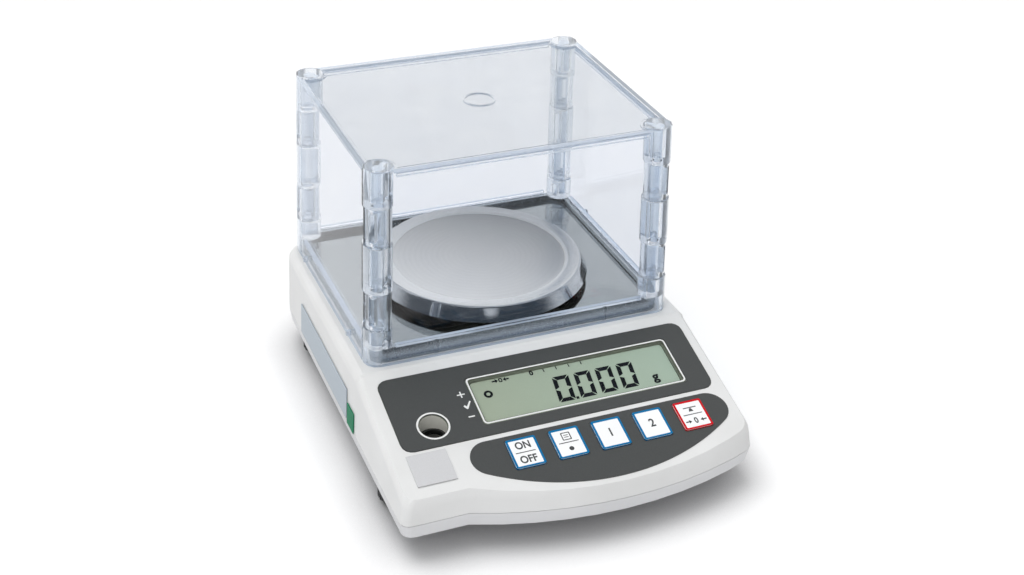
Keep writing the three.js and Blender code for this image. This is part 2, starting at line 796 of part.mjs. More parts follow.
function buildChamberFloor() {
  const outline = chamberOutline(skirtPlay + rimWidth + slideGap, floorPlateRadius);
  const plate = prism(outline, floorZ - floorPlate, floorZ);
  const collar = cylinder(collarRadius, floorZ - floorPlate, floorZ + collarHeight, 0, panY,
    panSteps / 2);
  const bore = cylinder(collarRadius - collarWall, recessZ, rimTopZ, 0, panY, panSteps / 2);
  return cut(join(plate, collar), bore);
}

function buildPan() {
  const dishZ = panTopZ - panDishDepth;
  const under = panRimRadius - panSheet;
  return turned([
    [0, dishZ], [panDishRadius, dishZ], [panDishRadius + panDishDepth, panTopZ],
    [panRimRadius - panRimRound, panTopZ], [panRimRadius, panTopZ - panRimRound],
    [panRadius, panBottomZ], [panRadius - panSheet, panBottomZ],
    [under, panTopZ - panSheet - panRimRound], [panDishRadius, panUnderZ], [0, panUnderZ],
  ], 0, panY, panSteps);
}

function buildPanSupport() {
  const arm = (turn) => prism(
    rectangle(-armReach, armReach, -armWidth / 2, armWidth / 2, armWidth / 2 - seatGap),
    armTopZ - armThickness, armTopZ,
  ).rotate([0, 0, turn]).translate([0, panY, 0]);
  const hubBottom = armTopZ - armThickness - hubHeight;
  const hub = cylinder(hubRadius, hubBottom, armTopZ, 0, panY);
  const bore = cylinder(spindleTipRadius + slideGap, hubBottom - bite,
    hubBottom + spindleTip + seatGap, 0, panY);
  return cut(join(arm(padAngle), arm(-padAngle), hub), bore);
}

function buildSpindle() {
  const shoulder = armTopZ - armThickness - hubHeight - seatGap;
  return turned([
    [0, sensorTopZ + seatGap], [spindleRadius, sensorTopZ + seatGap],
    [spindleRadius, shoulder], [spindleTipRadius, shoulder],
    [spindleTipRadius, shoulder + spindleTip], [0, shoulder + spindleTip],
  ], 0, panY);
}

// The sensor block bends at four thin hinges around one wide window
function buildForceSensor() {
  const front = panY - sensorLoadReach;
  const back = front + sensorLength;
  const base = sensorTopZ - sensorHeight;
  const middle = base + sensorHeight / 2;
  const half = sensorHeight / 2 - sensorBeam;
  const block = new THREE.Vector2(front, back);
  const profile = [[block.x, base], [block.y, base], [block.y, sensorTopZ], [block.x, sensorTopZ]];
  const body = prismAlongX(
    profile.map(([y, z]) => new THREE.Vector2(y, z)), -sensorWidth / 2, sensorWidth / 2,
  );
  const windowFront = front + sensorLoadReach * 2;
  const windowBack = back - sensorLoadReach * 2;
  const hole = (y, z, radius) => prismAlongX(
    circle(radius, y, z), -sensorWidth, sensorWidth,
  );
  const slit = prismAlongX(
    rectangle(windowFront, windowBack, middle - half / 2, middle + half / 2),
    -sensorWidth, sensorWidth,
  );
  const hinges = [windowFront, windowBack].flatMap((y) => [-1, 1].map((side) => hole(
    y, middle + side * (sensorHeight / 2 - sensorHinge - half / 2), half / 2,
  )));
  const window = hole((windowFront + windowBack) / 2, middle, sensorWindow - sensorBeam / 2);
  const footFront = back - sensorLoadReach * 2;
  const foot = prismAlongX(
    rectangle(footFront, back, base - sensorFoot, base + sensorBeam),
    -sensorWidth / 2, sensorWidth / 2,
  );
  return cut(join(body, foot), slit, window, ...hinges);
}

function buildSensorFrame() {
  const middleY = panY - sensorLoadReach + sensorLength / 2;
  const plate = prism(
    rectangle(-frameWidth / 2, frameWidth / 2,
      middleY - frameLength / 2, middleY + frameLength / 2, frameCorner),
    frameTopZ - frameThickness, frameTopZ,
  );
  const posts = [-1, 1].flatMap((side) => [-1, 1].map((end) => cylinder(
    framePost, caseFloorZ + seatGap, frameTopZ - seatGap,
    side * (frameWidth / 2 - frameCorner), middleY + end * (frameLength / 2 - frameCorner),
  )));
  const lightening = prism(
    rectangle(-sensorWidth / 3, sensorWidth / 3,
      middleY - frameLength / 8, middleY + frameLength / 8, frameCorner / 2),
    frameTopZ - frameThickness * 2, frameTopZ + frameThickness,
  );
  return cut(join(plate, ...posts), lightening);
}

function buildMainBoard() {
  return prism(
    rectangle(-mainBoardWidth / 2, mainBoardWidth / 2,
      boardY - mainBoardDepth / 2, boardY + mainBoardDepth / 2, boardThickness),
    mainBoardZ, mainBoardZ + boardThickness,
  );
}

function buildKey(x) {
  const cap = panelPiece(keyOutline(x, -keyCrown), flangeTop - keyFlange / 2, overlayTop + keyProud);
  const skirt = panelPiece(
    keyOutline(x, 0), flangeTop - keyFlange / 2, overlayTop + keyProud - keyCrown,
  );
  const flange = panelPiece(keyOutline(x, keyFlangeLip), flangeTop - keyFlange, flangeTop);
  const stem = cylinder(keyStemRadius, stemBottom, flangeTop - keyFlange / 2, x, -keyMiddle);
  return join(cap, skirt, flange, stem);
}

function buildSwitch(x) {
  const body = prism(
    rectangle(x - switchSize / 2, x + switchSize / 2,
      -keyMiddle - switchSize / 2, -keyMiddle + switchSize / 2),
    switchTop - switchHeight, switchTop,
  );
  const button = cylinder(
    switchButtonRadius, switchTop - switchHeight / 2, switchTop + switchButton, x, -keyMiddle,
  );
  return join(body, button);
}

function buildKeyBoard() {
  return panelPiece(
    rectangle(keyBoardX - keyBoardWidth / 2, keyBoardX + keyBoardWidth / 2,
      keyBoardMiddle - keyBoardHeight / 2, keyBoardMiddle + keyBoardHeight / 2, boardThickness),
    keyBoardTop - boardThickness, keyBoardTop,
  );
}

const lcdOutline = (grow) => rectangle(
  displayCentreX - lcdWidth / 2 - grow, displayCentreX + lcdWidth / 2 + grow,
  displayTop + displayHeight / 2 - lcdHeight / 2 - grow,
  displayTop + displayHeight / 2 + lcdHeight / 2 + grow, displayCorner,
);

function buildLcdHolder() {
  const top = flangeTop - seatGap;
  return cut(
    panelPiece(lcdOutline(seatGap + holderWall), top - holderDepth, top),
    panelPiece(lcdOutline(seatGap), lcdTop - lcdThickness - seatGap, top + bite),
    panelPiece(lcdOutline(-lcdThickness), top - holderDepth - bite, top),
  );
}

function buildUpperOverlay() {
  const levelCentre = new THREE.Vector2(levelX, levelTop);
  const wellHalf = levelRadius + seatGap;
  return cut(
    panelPiece(upperOverlayOutline(0), overlayTop - overlaySheet, overlayTop),
    panelPiece(displayOutline(seatGap), -overlaySheet * 2, overlayTop * 2),
    panelPiece(
      circle(wellHalf, levelCentre.x, levelCentre.y, wellSteps), -overlaySheet * 2, overlayTop * 2,
    ),
  );
}

function buildKeyOverlay() {
  return cut(
    panelPiece(keyOverlayOutline(0), overlayTop - overlaySheet, overlayTop),
    ...keyCentres.map((x) => panelPiece(
      keyOutline(x, slideGap), -overlaySheet * 2, overlayTop * 2,
    )),
  );
}

function buildLevelVial() {
  const y = panelPoint(levelX, levelTop).y;
  const radius = levelRadius - seatGap;
  return cut(
    cylinder(radius, vialBottomZ, vialTopZ, levelX, y, wellSteps),
    cylinder(
      radius - vialWall, vialBottomZ + vialWall, vialTopZ + bite, levelX, y, wellSteps,
    ),
  );
}

function buildLevelLens() {
  const radius = levelRadius - seatGap * 2 - vialWall;
  return cylinder(
    radius, vialBottomZ + vialWall + seatGap, vialTopZ - lensHeight, levelX,
    panelPoint(levelX, levelTop).y, wellSteps,
  );
}

// A thin sheet lying on the left side of the housing
function buildSideSheet(startY, endY, lowZ, highZ) {
  const sheet = cut(
    housingForm(-seatGap - stickerSheet, partingZ + partingGap),
    housingForm(-seatGap, partingZ),
  );
  const box = prism(rectangle(-frontHalfWidth - cutOverrun, 0, startY, endY), lowZ, highZ);
  return sheet.intersect(box);
}

// The shield is drawn straight and then leans in evenly towards its top
const shieldMiddleY = (shieldFrontY + shieldRearY) / 2;
const shieldHalfDepth = (shieldRearY - shieldFrontY) / 2;
function leanIn(body) {
  return body.warp((vertex) => {
    const lean = (shieldTaper * (vertex[2] - shieldBottomZ)) / shieldHeight;
    vertex[0] *= 1 - lean / shieldHalfWidth;
    vertex[1] = shieldMiddleY + (vertex[1] - shieldMiddleY) * (1 - lean / shieldHalfDepth);
  });
}

const columnPlaces = [-1, 1].flatMap((side) => [-1, 1].map((end) => [
  side * (shieldHalfWidth - columnRadius),
  shieldMiddleY + end * (shieldHalfDepth - columnRadius), side, end,
]));
const knuckleZ = knuckleShares.map((share) => shieldTopZ - shieldHeight * share);

// One knuckle of a corner column: odd ones carry pintles, even ones a slotted bore
function buildKnuckle(k, x, y, side, end) {
  const low = knuckleZ[k + 1] + (k === knuckleZ.length - 2 ? 0 : seatGap / 2);
  const high = knuckleZ[k] - (k === 0 ? 0 : seatGap / 2);
  const odd = k % 2 === 0;
  const radius = odd ? columnRadius : columnRadius - knuckleRelief;
  const barrel = cylinder(radius, low, high, x, y, columnSteps);
  const facing = Math.atan2(end, side);
  const slotTurn = THREE.MathUtils.radToDeg(odd ? facing + Math.PI : facing);
  const hollowLow = Math.max(low, k === knuckleZ.length - 2 ? rimTopZ : low) + knuckleWeb;
  const slot = prism(
    rectangle(0, columnRadius * 2, -knuckleSlot / 2, knuckleSlot / 2),
    hollowLow, high - knuckleWeb,
  ).rotate([0, 0, slotTurn]).translate([x, y, 0]);
  if (!odd) {
    const bore = cylinder(columnBore, low - bite, high + bite, x, y, columnSteps);
    return cut(barrel, bore, slot);
  }
  const hollow = cylinder(columnBore, hollowLow, high - knuckleWeb, x, y, columnSteps);
  const pintles = [];
  if (k > 0) {
    pintles.push(cylinder(pintleRadius, high - bite, high + pintleLength, x, y, columnSteps));
  }
  if (k < knuckleZ.length - 2) {
    pintles.push(cylinder(pintleRadius, low - pintleLength, low + bite, x, y, columnSteps));
  }
  return join(cut(barrel, hollow, slot), ...pintles);
}

// Room the other wall's knuckles need at the ends of a wall's plate
function knuckleRoom(parity, x, y) {
  const rooms = [];
  for (let k = parity; k + 1 < knuckleZ.length; k += 2) {
    rooms.push(cylinder(
      columnRadius + seatGap, knuckleZ[k + 1] - seatGap / 2, knuckleZ[k] + seatGap / 2,
      x, y, columnSteps,
    ));
  }
  return rooms;
}

// A wall of the shield between two columns: its plate, the foot rail that stands on
// the chamber rim, the shelf under the lid, and every second knuckle at both ends
function buildWall(parity, wallSide, wallEnd) {
  const wallTop = shieldTopZ - columnRise;
  const mine = columnPlaces.filter(([, , side, end]) => (
    wallSide ? side === wallSide : end === wallEnd
  ));
  const strip = (reach, inner, outer, low, high) => {
    const along = (wallSide ? shieldHalfDepth : shieldHalfWidth) - columnRadius - reach;
    const face = wallSide ? shieldHalfWidth : shieldHalfDepth;
    const spans = [-along, along];
    const depths = [face - outer, face - inner].map((d) => d * (wallSide || wallEnd));
    depths.sort((a, b) => a - b);
    return wallSide
      ? prism(rectangle(...depths, shieldMiddleY + spans[0], shieldMiddleY + spans[1]), low, high)
      : prism(rectangle(...spans, shieldMiddleY + depths[0], shieldMiddleY + depths[1]), low, high);
  };
  const shelfReach = columnRadius + seatGap * 2;
  const railZ = rimTopZ + seatGap;
  const shelfZ = wallTop - lidThickness - seatGap;
  const half = shieldWall / 2;
  const plate = strip(0, 0, shieldWall, shieldBottomZ, wallTop);
  const rails = [
    strip(shelfReach, half, shieldWall + railDepth, railZ, railZ + railThickness),
    strip(shelfReach, half, shieldWall + railDepth, shelfZ - railThickness, shelfZ),
  ];
  const notched = cut(
    join(plate, ...rails), ...mine.flatMap(([x, y]) => knuckleRoom(1 - parity, x, y)),
  );
  const knuckles = [];
  mine.forEach((column) => {
    for (let k = parity; k + 1 < knuckleZ.length; k += 2) {
      knuckles.push(buildKnuckle(k, ...column));
    }
  });
  const plateauRoom = prism(
    chamberOutline(0, columnRadius - shieldWall), shieldBottomZ - cutOverrun, railZ,
  );
  return cut(join(notched, ...knuckles), plateauRoom);
}

// Two short ribs stand under the foot rail of the front and back walls
function railRibs(end) {
  const root = shieldMiddleY + end * (shieldHalfDepth - shieldWall / 2);
  const tip = shieldMiddleY + end * (shieldHalfDepth - shieldWall - railRibReach);
  return [-railRibSpread, railRibSpread].map((x) => prism(
    rectangle(x - skirtRibWidth / 2, x + skirtRibWidth / 2,
      Math.min(root, tip), Math.max(root, tip)),
    shieldBottomZ + seatGap, rimTopZ + seatGap + railThickness,
  ));
}

// Small rounded clips stand out of the side walls near their foot
function sideClips(side) {
  const x = side * (shieldHalfWidth - shieldWall / 2);
  return [-clipSpread, clipSpread].map((y) => prismAlongX(
    circle(clipRadius, shieldMiddleY + y, shieldBottomZ + clipHeight, columnSteps / 2),
    Math.min(x, x + side * (clipReach + shieldWall / 2)),
    Math.max(x, x + side * (clipReach + shieldWall / 2)),
  ));
}

function buildLid() {
  const wallTop = shieldTopZ - columnRise;
  const half = shieldHalfWidth - shieldWall - lidPlay;
  const deep = shieldHalfDepth - shieldWall - lidPlay;
  const outline = (inset) => rectangle(
    inset - half, half - inset, shieldMiddleY - deep + inset, shieldMiddleY + deep - inset,
  );
  const notches = (grow, low) => columnPlaces.map(([x, y]) => cylinder(
    columnRadius + lidPlay + grow, low, shieldTopZ, x, y, columnSteps * 2,
  ));
  const plate = cut(
    prism(outline(0), wallTop - lidThickness, wallTop), ...notches(0, shieldBottomZ),
  );
  const tray = cut(
    prism(outline(lidLipWidth), wallTop - lidLipHeight, wallTop + bite),
    ...notches(lidLipWidth, shieldBottomZ),
  );
  const boss = cut(
    cylinder(lidBossRadius, wallTop - lidThickness / 2, wallTop, 0, shieldMiddleY, panSteps / 2),
    cylinder(lidBossRadius - lidBossRim, wallTop - lidLipHeight, wallTop + bite, 0, shieldMiddleY,
      panSteps / 2),
  );
  return leanIn(join(cut(plate, tray), boss));
}

function buildPowerSocket() {
  const face = rearY - seatGap * 2;
  const flangeY = rearY - housingWall - sideDraft - seatGap;
  const barrel = prismAlongY(circle(powerSocketRadius, powerSocketX, socketZ),
    flangeY - powerBodyLength, face);
  const flange = prismAlongY(circle(powerFlangeRadius, powerSocketX, socketZ),
    flangeY - socketFlange, flangeY);
  const bore = prismAlongY(circle(powerBoreRadius, powerSocketX, socketZ),
    face - powerBoreDepth, face + bite);
  const pin = prismAlongY(circle(powerPinRadius, powerSocketX, socketZ, columnSteps / 2),
    face - powerBoreDepth - bite, face - powerPinRadius);
  return join(cut(join(barrel, flange), bore), pin);
}

function buildDataSocket() {
  const face = rearY - seatGap * 2;
  const flangeY = rearY - housingWall - sideDraft - seatGap;
  const shell = prismAlongY(dataOutline(0), flangeY - dataBodyLength, face);
  const flange = prismAlongY(
    rectangle(dataSocketX - dataFlangeWidth / 2, dataSocketX + dataFlangeWidth / 2,
      socketZ - dataFlangeHeight / 2, socketZ + dataFlangeHeight / 2, socketFlange),
    flangeY - socketFlange, flangeY,
  );
  const hollow = prismAlongY(dataOutline(-socketFlange), face - dataHollow, face + bite);
  const rows = [[dataPinTop, dataPinRow], [-dataPinTop, dataPinRow - 1]];
  const pins = rows.flatMap(([z, count]) => Array.from({ length: count }, (_, k) => prismAlongY(
    circle(dataPinRadius, dataSocketX + dataPinPitch * (k - (count - 1) / 2), socketZ + z,
      columnSteps / 2),
    face - dataHollow - bite, face - dataHollow / 4,
  )));
  return join(cut(join(shell, flange), hollow), ...pins);
}

// Foot: a rubber sole, a knurled knob with its stud, and a brass insert in the case
function knurled(radius) {
  return Array.from({ length: knurlCount * 2 }, (_, k) => {
    const angle = (Math.PI * k) / knurlCount;
    const reach = k % 2 ? radius : radius - knurlDepth;
    return new THREE.Vector2(reach * Math.cos(angle), reach * Math.sin(angle));
  });
}

function buildFootKnob(x, y) {
  const base = soleHeight + seatGap;
  const low = knurled(knobRadius - knobChamfer);
  const full = knurled(knobRadius);
  const knob = loft([
    level(low, base), level(full, base + knobChamfer), level(full, base + knobHeight),
  ]).translate([x, y, 0]);
  const stud = cylinder(studRadius, base + knobHeight - bite, base + knobHeight + studLength, x, y);
  const peg = cylinder(solePegRadius + seatGap, base - bite, base + solePeg + seatGap, x, y);
  return cut(join(knob, stud), peg);
}

const buildSole = (x, y) => join(
  cylinder(soleRadius, 0, soleHeight, x, y),
  cylinder(solePegRadius, soleHeight - bite, soleHeight + seatGap + solePeg, x, y),
);

const buildInsert = (x, y) => cut(
  cylinder(insertRadius, footClearance + seatGap, footClearance + insertHeight - seatGap, x, y),
  cylinder(insertRadius - insertWall, footClearance - bite, footClearance + insertHeight, x, y),
);

function buildScrew(x, y) {
  const low = footClearance + seatGap;
  return cut(
    join(
      cylinder(screwHeadRadius, low, low + screwHeadHeight, x, y),
      cylinder(screwShankRadius, low + screwHeadHeight - bite,
        low + screwHeadHeight + screwShank, x, y, columnSteps / 2),
    ),
    cylinder(screwSocketRadius, low - bite, low + screwSocketDepth, x, y, screwSocketSides),
  );
}

addPiece('upper_housing', buildUpperHousing(), housingPlastic);
addPiece('lower_housing', buildLowerHousing(), lowerPlastic);
addPiece('chamber_floor', buildChamberFloor(), satinSteel);
addPiece('weighing_pan', buildPan(), steel);
addPiece('pan_support', buildPanSupport(), aluminium);
['a', 'b', 'c', 'd'].forEach((mark, k) => {
  const angle = THREE.MathUtils.degToRad(padAngle + (k * fullTurn) / padCount);
  const reach = armReach - padRadius - seatGap;
  addPiece(`pan_pad_${mark}`, cylinder(
    padRadius, padTopZ - padHeight, padTopZ,
    reach * Math.cos(angle), panY + reach * Math.sin(angle),
  ), blackRubber);
});
addPiece('load_spindle', buildSpindle(), steel);
addPiece('force_sensor', buildForceSensor(), aluminium);
addPiece('sensor_frame', buildSensorFrame(), aluminium);
addPiece('main_board', buildMainBoard(), boardGreen);
addPiece('key_board', buildKeyBoard(), boardGreen, panelFrame);
['on_off', 'print', 'units', 'function', 'tare'].forEach((name, k) => {
  addPiece(`key_${name}`, buildKey(keyCentres[k]), keyPlastic, panelFrame);
  addPiece(`switch_${name}`, buildSwitch(keyCentres[k]), blackPlastic, panelFrame);
});
addPiece('lcd_holder', buildLcdHolder(), blackPlastic, panelFrame);
addPiece('lcd_glass', panelPiece(
  lcdOutline(0), lcdTop - lcdThickness, lcdTop,
), lcdGreen, panelFrame);
addPiece('display_window', panelPiece(
  displayOutline(0), overlayTop - windowSheet, overlayTop,
), clearPlastic, panelFrame);
addPiece('upper_overlay', buildUpperOverlay(), overlayFilm, panelFrame);
addPiece('key_overlay', buildKeyOverlay(), overlayFilm, panelFrame);
addPiece('level_vial', buildLevelVial(), creamPlastic);
addPiece('level_lens', buildLevelLens(), clearPlastic);
addPiece('capacity_sticker', panelPiece(
  ratingOutline(0), overlayTop, overlayTop + stickerSheet,
), labelGrey, panelFrame);
const labelStart = apronY + labelStartSetback;
addPiece('side_label', buildSideSheet(
  labelStart, labelStart + labelLength, labelBottomZ, labelBottomZ + labelHeight,
), labelBlue);
addPiece('side_seal', buildSideSheet(
  labelStart - sealGap - sealLength, labelStart - sealGap, partingZ + seatGap * 2,
  partingZ + seatGap * 2 + sealHeight,
), sealGreen);
addPiece('shield_front', leanIn(join(buildWall(0, 0, -1), ...railRibs(-1))), clearPlastic);
addPiece('shield_back', leanIn(join(buildWall(0, 0, 1), ...railRibs(1))), clearPlastic);
addPiece('shield_left', leanIn(join(buildWall(1, -1, 0), ...sideClips(-1))), clearPlastic);
addPiece('shield_right', leanIn(join(buildWall(1, 1, 0), ...sideClips(1))), clearPlastic);
addPiece('shield_lid', buildLid(), clearPlastic);
addPiece('power_socket', buildPowerSocket(), blackPlastic);
addPiece('data_socket', buildDataSocket(), blackPlastic);
footPlaces.forEach(([place, x, y]) => {
  addPiece(`foot_sole_${place}`, buildSole(x, y), blackRubber);
  addPiece(`foot_knob_${place}`, buildFootKnob(x, y), blackPlastic);
  addPiece(`foot_insert_${place}`, buildInsert(x, y), brass);
});
screwPlaces.forEach(([place, x, y]) => {
  addPiece(`case_screw_${place}`, buildScrew(x, y), steel);
});

export default balance;
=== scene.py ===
import json
import math

import bmesh
import bpy
from mathutils import Matrix, Vector

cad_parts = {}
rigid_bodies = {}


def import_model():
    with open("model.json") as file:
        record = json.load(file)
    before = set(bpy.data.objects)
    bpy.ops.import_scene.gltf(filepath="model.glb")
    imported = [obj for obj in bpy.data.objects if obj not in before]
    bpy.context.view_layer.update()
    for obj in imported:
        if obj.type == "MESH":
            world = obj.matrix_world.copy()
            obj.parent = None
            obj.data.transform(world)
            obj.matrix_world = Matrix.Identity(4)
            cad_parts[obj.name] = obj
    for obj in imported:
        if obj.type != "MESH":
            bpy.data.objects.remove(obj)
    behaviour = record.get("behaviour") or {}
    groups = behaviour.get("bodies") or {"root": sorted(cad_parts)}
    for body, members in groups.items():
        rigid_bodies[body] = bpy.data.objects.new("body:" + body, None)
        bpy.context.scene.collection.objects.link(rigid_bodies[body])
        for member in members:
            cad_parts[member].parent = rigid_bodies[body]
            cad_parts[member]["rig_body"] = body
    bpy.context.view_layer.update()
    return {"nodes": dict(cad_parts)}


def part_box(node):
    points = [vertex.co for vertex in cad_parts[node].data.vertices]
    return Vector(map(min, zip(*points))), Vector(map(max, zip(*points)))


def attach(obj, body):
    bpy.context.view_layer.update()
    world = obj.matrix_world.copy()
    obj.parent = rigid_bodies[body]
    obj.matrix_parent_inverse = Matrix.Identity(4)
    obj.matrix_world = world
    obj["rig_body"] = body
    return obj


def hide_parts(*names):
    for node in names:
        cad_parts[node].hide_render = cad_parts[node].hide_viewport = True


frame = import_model()
NODES = frame["nodes"]
MM = 0.001

# The panel's own frame: x across, w down the slope, h out of the panel, in millimetres
PANEL_SLOPE = math.radians(16.3)
PANEL_TOP_Y = -27.0 * MM
PANEL_TOP_Z = 57.3 * MM
FILM_TOP = 0.3
KEY_TOP = 1.1
KEYS = ("on_off", "print", "units", "function", "tare")
KEY_FIRST_X = -26.1
KEY_PITCH = 22.8
KEY_WIDTH = 15.6
KEY_LENGTH = 17.4
KEY_TOP_W = 56.2
KEY_GAP = 0.25
DISPLAY = (-39.3, 72.3, 13.6, 43.6)
LEDGE_DEPTH = 8.0
LEVEL = (-64.0, 37.8, 7.3)
WELL_DEPTH = 12.0
WELL_LIP = 0.8
PANEL_SKIN = 0.25
POCKET_FLOOR = (-0.7, -0.5)
KEY_POCKET_W = 51.5

# For each millimetre of depth the line of sight runs this far across and up the panel
SIGHT_ACROSS = 0.44
SIGHT_UP = 0.76

# The chamber, the pan and the shield on the level deck, in millimetres
RIM_FOOT_Z = 59.0
PAN_Y = 41.3
PAN_CENTRE = (0, PAN_Y)
# Reach of the painted shadow on the chamber floor round the pan's axis
PAINTED_SHADOW_RADIUS = 56.5
SHIELD_BOTTOM_Z = 58.8
SHIELD_TALL = 106.5
SHIELD_LEAN = 3.2
SHIELD_HALF = 84.2
SHIELD_Y = (-23.2, 114.0)
POST_REACH = 15.4
CORNERS = ("front_left", "front_right", "rear_left", "rear_right")

# Thickness of a printed line and of a display segment, in millimetres
INK_THICK = 0.03
SEGMENT_THICK = 0.02

RANGE_SOCKETS = ("From Min", "From Max", "To Min", "To Max")


# Scene helpers
def put(obj, name, body=None, replaces=()):
    """Names an object, links it and ties it to its body."""
    obj.name = name
    if obj.name not in bpy.context.scene.collection.objects:
        bpy.context.scene.collection.objects.link(obj)
    if body:
        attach(obj, body)
    if replaces:
        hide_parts(*replaces)
    return obj


def settle(obj):
    """Turns an object with modifiers, text or a curve into a plain mesh object."""
    bpy.context.scene.collection.objects.link(obj)
    bpy.context.view_layer.update()
    graph = bpy.context.evaluated_depsgraph_get()
    mesh = bpy.data.meshes.new_from_object(obj.evaluated_get(graph))
    bpy.data.objects.remove(obj)
    return bpy.data.objects.new("piece", mesh)


def panel_matrix(x=0.0, w=0.0, h=0.0):
    """Places a flat drawing (x right, y up the slope, z out) on the panel."""
    tilt = Matrix.Translation((0, PANEL_TOP_Y, PANEL_TOP_Z)) @ Matrix.Rotation(PANEL_SLOPE, 4, "X")
    return tilt @ Matrix.Translation((x * MM, -w * MM, h * MM))


def panel_height(node):
    """How far a CAD node's highest point stands out of the panel, in millimetres."""
    back = panel_matrix().inverted()
    return max((back @ v.co).z for v in NODES[node].data.vertices) / MM


def connect(tree, *links):
    """Wires nodes together: each link is a source, its output, a target and its input."""
    for source, output, target, socket in links:
        tree.links.new(source.outputs[output], target.inputs[socket])


def seen_rays(tree, path):
    """A node that gives 1 to rays from the camera, from a mirror or through a clear piece."""
    direct = tree.nodes.new("ShaderNodeMath")
    either = tree.nodes.new("ShaderNodeMath")
    direct.operation = either.operation = "MAXIMUM"
    connect(
        tree,
        (path, "Is Camera Ray", direct, 0),
        (path, "Is Glossy Ray", direct, 1),
        (direct, "Value", either, 0),
        (path, "Is Transmission Ray", either, 1),
    )
    return either


# Materials
class Finish:
    """A node material: one shader fed by patterns in Object coordinates, in metres."""

    def __init__(self, name, base, rough, metal=0.0, coat=0.0, ior=1.5, shine=0.5):
        self.material = bpy.data.materials.new(name)
        self.material.use_nodes = True
        self.tree = self.material.node_tree
        self.tree.nodes.clear()
        self.out = self.node("ShaderNodeOutputMaterial")
        self.shader = self.node("ShaderNodeBsdfPrincipled")
        self.base = base
        self.rough = rough
        self.set("Base Color", (*base, 1))
        self.set("Roughness", rough)
        self.set("Metallic", metal)
        self.set("Coat Weight", coat)
        self.set("Coat Roughness", 0.08)
        self.set("IOR", ior)
        self.set("Specular IOR Level", shine)
        self.wire(self.shader, "BSDF", self.out, "Surface")
        self.place = self.node("ShaderNodeTexCoord")
        self.bumped = None

    def node(self, kind, **settings):
        node = self.tree.nodes.new(kind)
        for key, value in settings.items():
            setattr(node, key, value)
        return node

    def set(self, socket, value):
        self.shader.inputs[socket].default_value = value

    def wire(self, source, output, target, socket):
        connect(self.tree, (source, output, target, socket))

    def mapping(self, stretch=(1, 1, 1), shift=(0, 0, 0), turn=(0, 0, 0)):
        node = self.node("ShaderNodeMapping")
        node.inputs["Scale"].default_value = stretch
        node.inputs["Location"].default_value = shift
        node.inputs["Rotation"].default_value = turn
        self.wire(self.place, "Object", node, "Vector")
        return node

    def noise(self, size_mm, detail=3.0, stretch=(1, 1, 1), rough=0.5):
        """Cloudy noise whose blotches are about size_mm across."""
        node = self.node("ShaderNodeTexNoise")
        node.inputs["Scale"].default_value = 1 / (size_mm * MM)
        node.inputs["Detail"].default_value = detail
        node.inputs["Roughness"].default_value = rough
        self.wire(self.mapping(stretch), "Vector", node, "Vector")
        return node

    def spread(self, source, output, low, high, start=0.3, end=0.7):
        """Maps a pattern's values from start and end to low and high."""
        node = self.node("ShaderNodeMapRange")
        for socket, value in zip(RANGE_SOCKETS, (start, end, low, high)):
            node.inputs[socket].default_value = value
        self.wire(source, output, node, "Value")
        return node

    def tint(self, factor, output, other, under=None):
        """Blends the base colour, or the colour so far, towards another colour."""
        node = self.node("ShaderNodeMix", data_type="RGBA")
        sockets = [s for s in node.inputs if s.type == "RGBA"]
        sockets[0].default_value = (*self.base, 1)
        sockets[1].default_value = (*other, 1)
        self.wire(factor, output, node, 0)
        if under:
            self.tree.links.new(under, sockets[0])
        result = [s for s in node.outputs if s.type == "RGBA"][0]
        self.tree.links.new(result, self.shader.inputs["Base Color"])
        return result

    def bump(self, source, output, height_mm, strength=1.0):
        node = self.node("ShaderNodeBump")
        node.inputs["Strength"].default_value = strength
        node.inputs["Distance"].default_value = height_mm * MM
        self.wire(source, output, node, "Height")
        if self.bumped:
            self.wire(self.bumped, "Normal", node, "Normal")
        self.wire(node, "Normal", self.shader, "Normal")
        self.bumped = node

    def vary_roughness(self, source, output, spread):
        ranged = self.spread(source, output, self.rough - spread, self.rough + spread)
        self.wire(ranged, "Result", self.shader, "Roughness")


def moulded_plastic(name, base, shade, rough, grain_mm=0.45, depth=0.018, **extra):
    """Injection-moulded plastic: a fine spark-eroded grain and faint flow clouds."""
    finish = Finish(name, base, rough, **extra)
    cloud = finish.noise(size_mm=38, detail=2)
    tinted = finish.tint(finish.spread(cloud, "Fac", 0, 0.5), "Result", shade)
    dust = finish.noise(size_mm=3.2, detail=6, rough=0.7)
    finish.tint(finish.spread(dust, "Fac", 0, 0.22, 0.55, 0.78), "Result", shade, tinted)
    grain = finish.noise(grain_mm, detail=2)
    finish.vary_roughness(grain, "Fac", spread=0.06)
    finish.bump(grain, "Fac", depth, strength=0.5)
    return finish.material


def printed_film(name, base, shade, rough, coat=0.0, shine=0.5):
    """Textured polyester film, printed from behind."""
    finish = Finish(name, base, rough, coat=coat, shine=shine)
    fleck = finish.noise(size_mm=0.7, detail=4, rough=0.7)
    finish.tint(finish.spread(fleck, "Fac", 0, 0.6), "Result", shade)
    weave = finish.noise(size_mm=0.22, detail=1)
    waviness = finish.noise(size_mm=26, detail=1)
    finish.vary_roughness(weave, "Fac", spread=0.07)
    finish.bump(weave, "Fac", height_mm=0.006, strength=0.5)
    finish.bump(waviness, "Fac", height_mm=0.12, strength=0.15)
    return finish.material


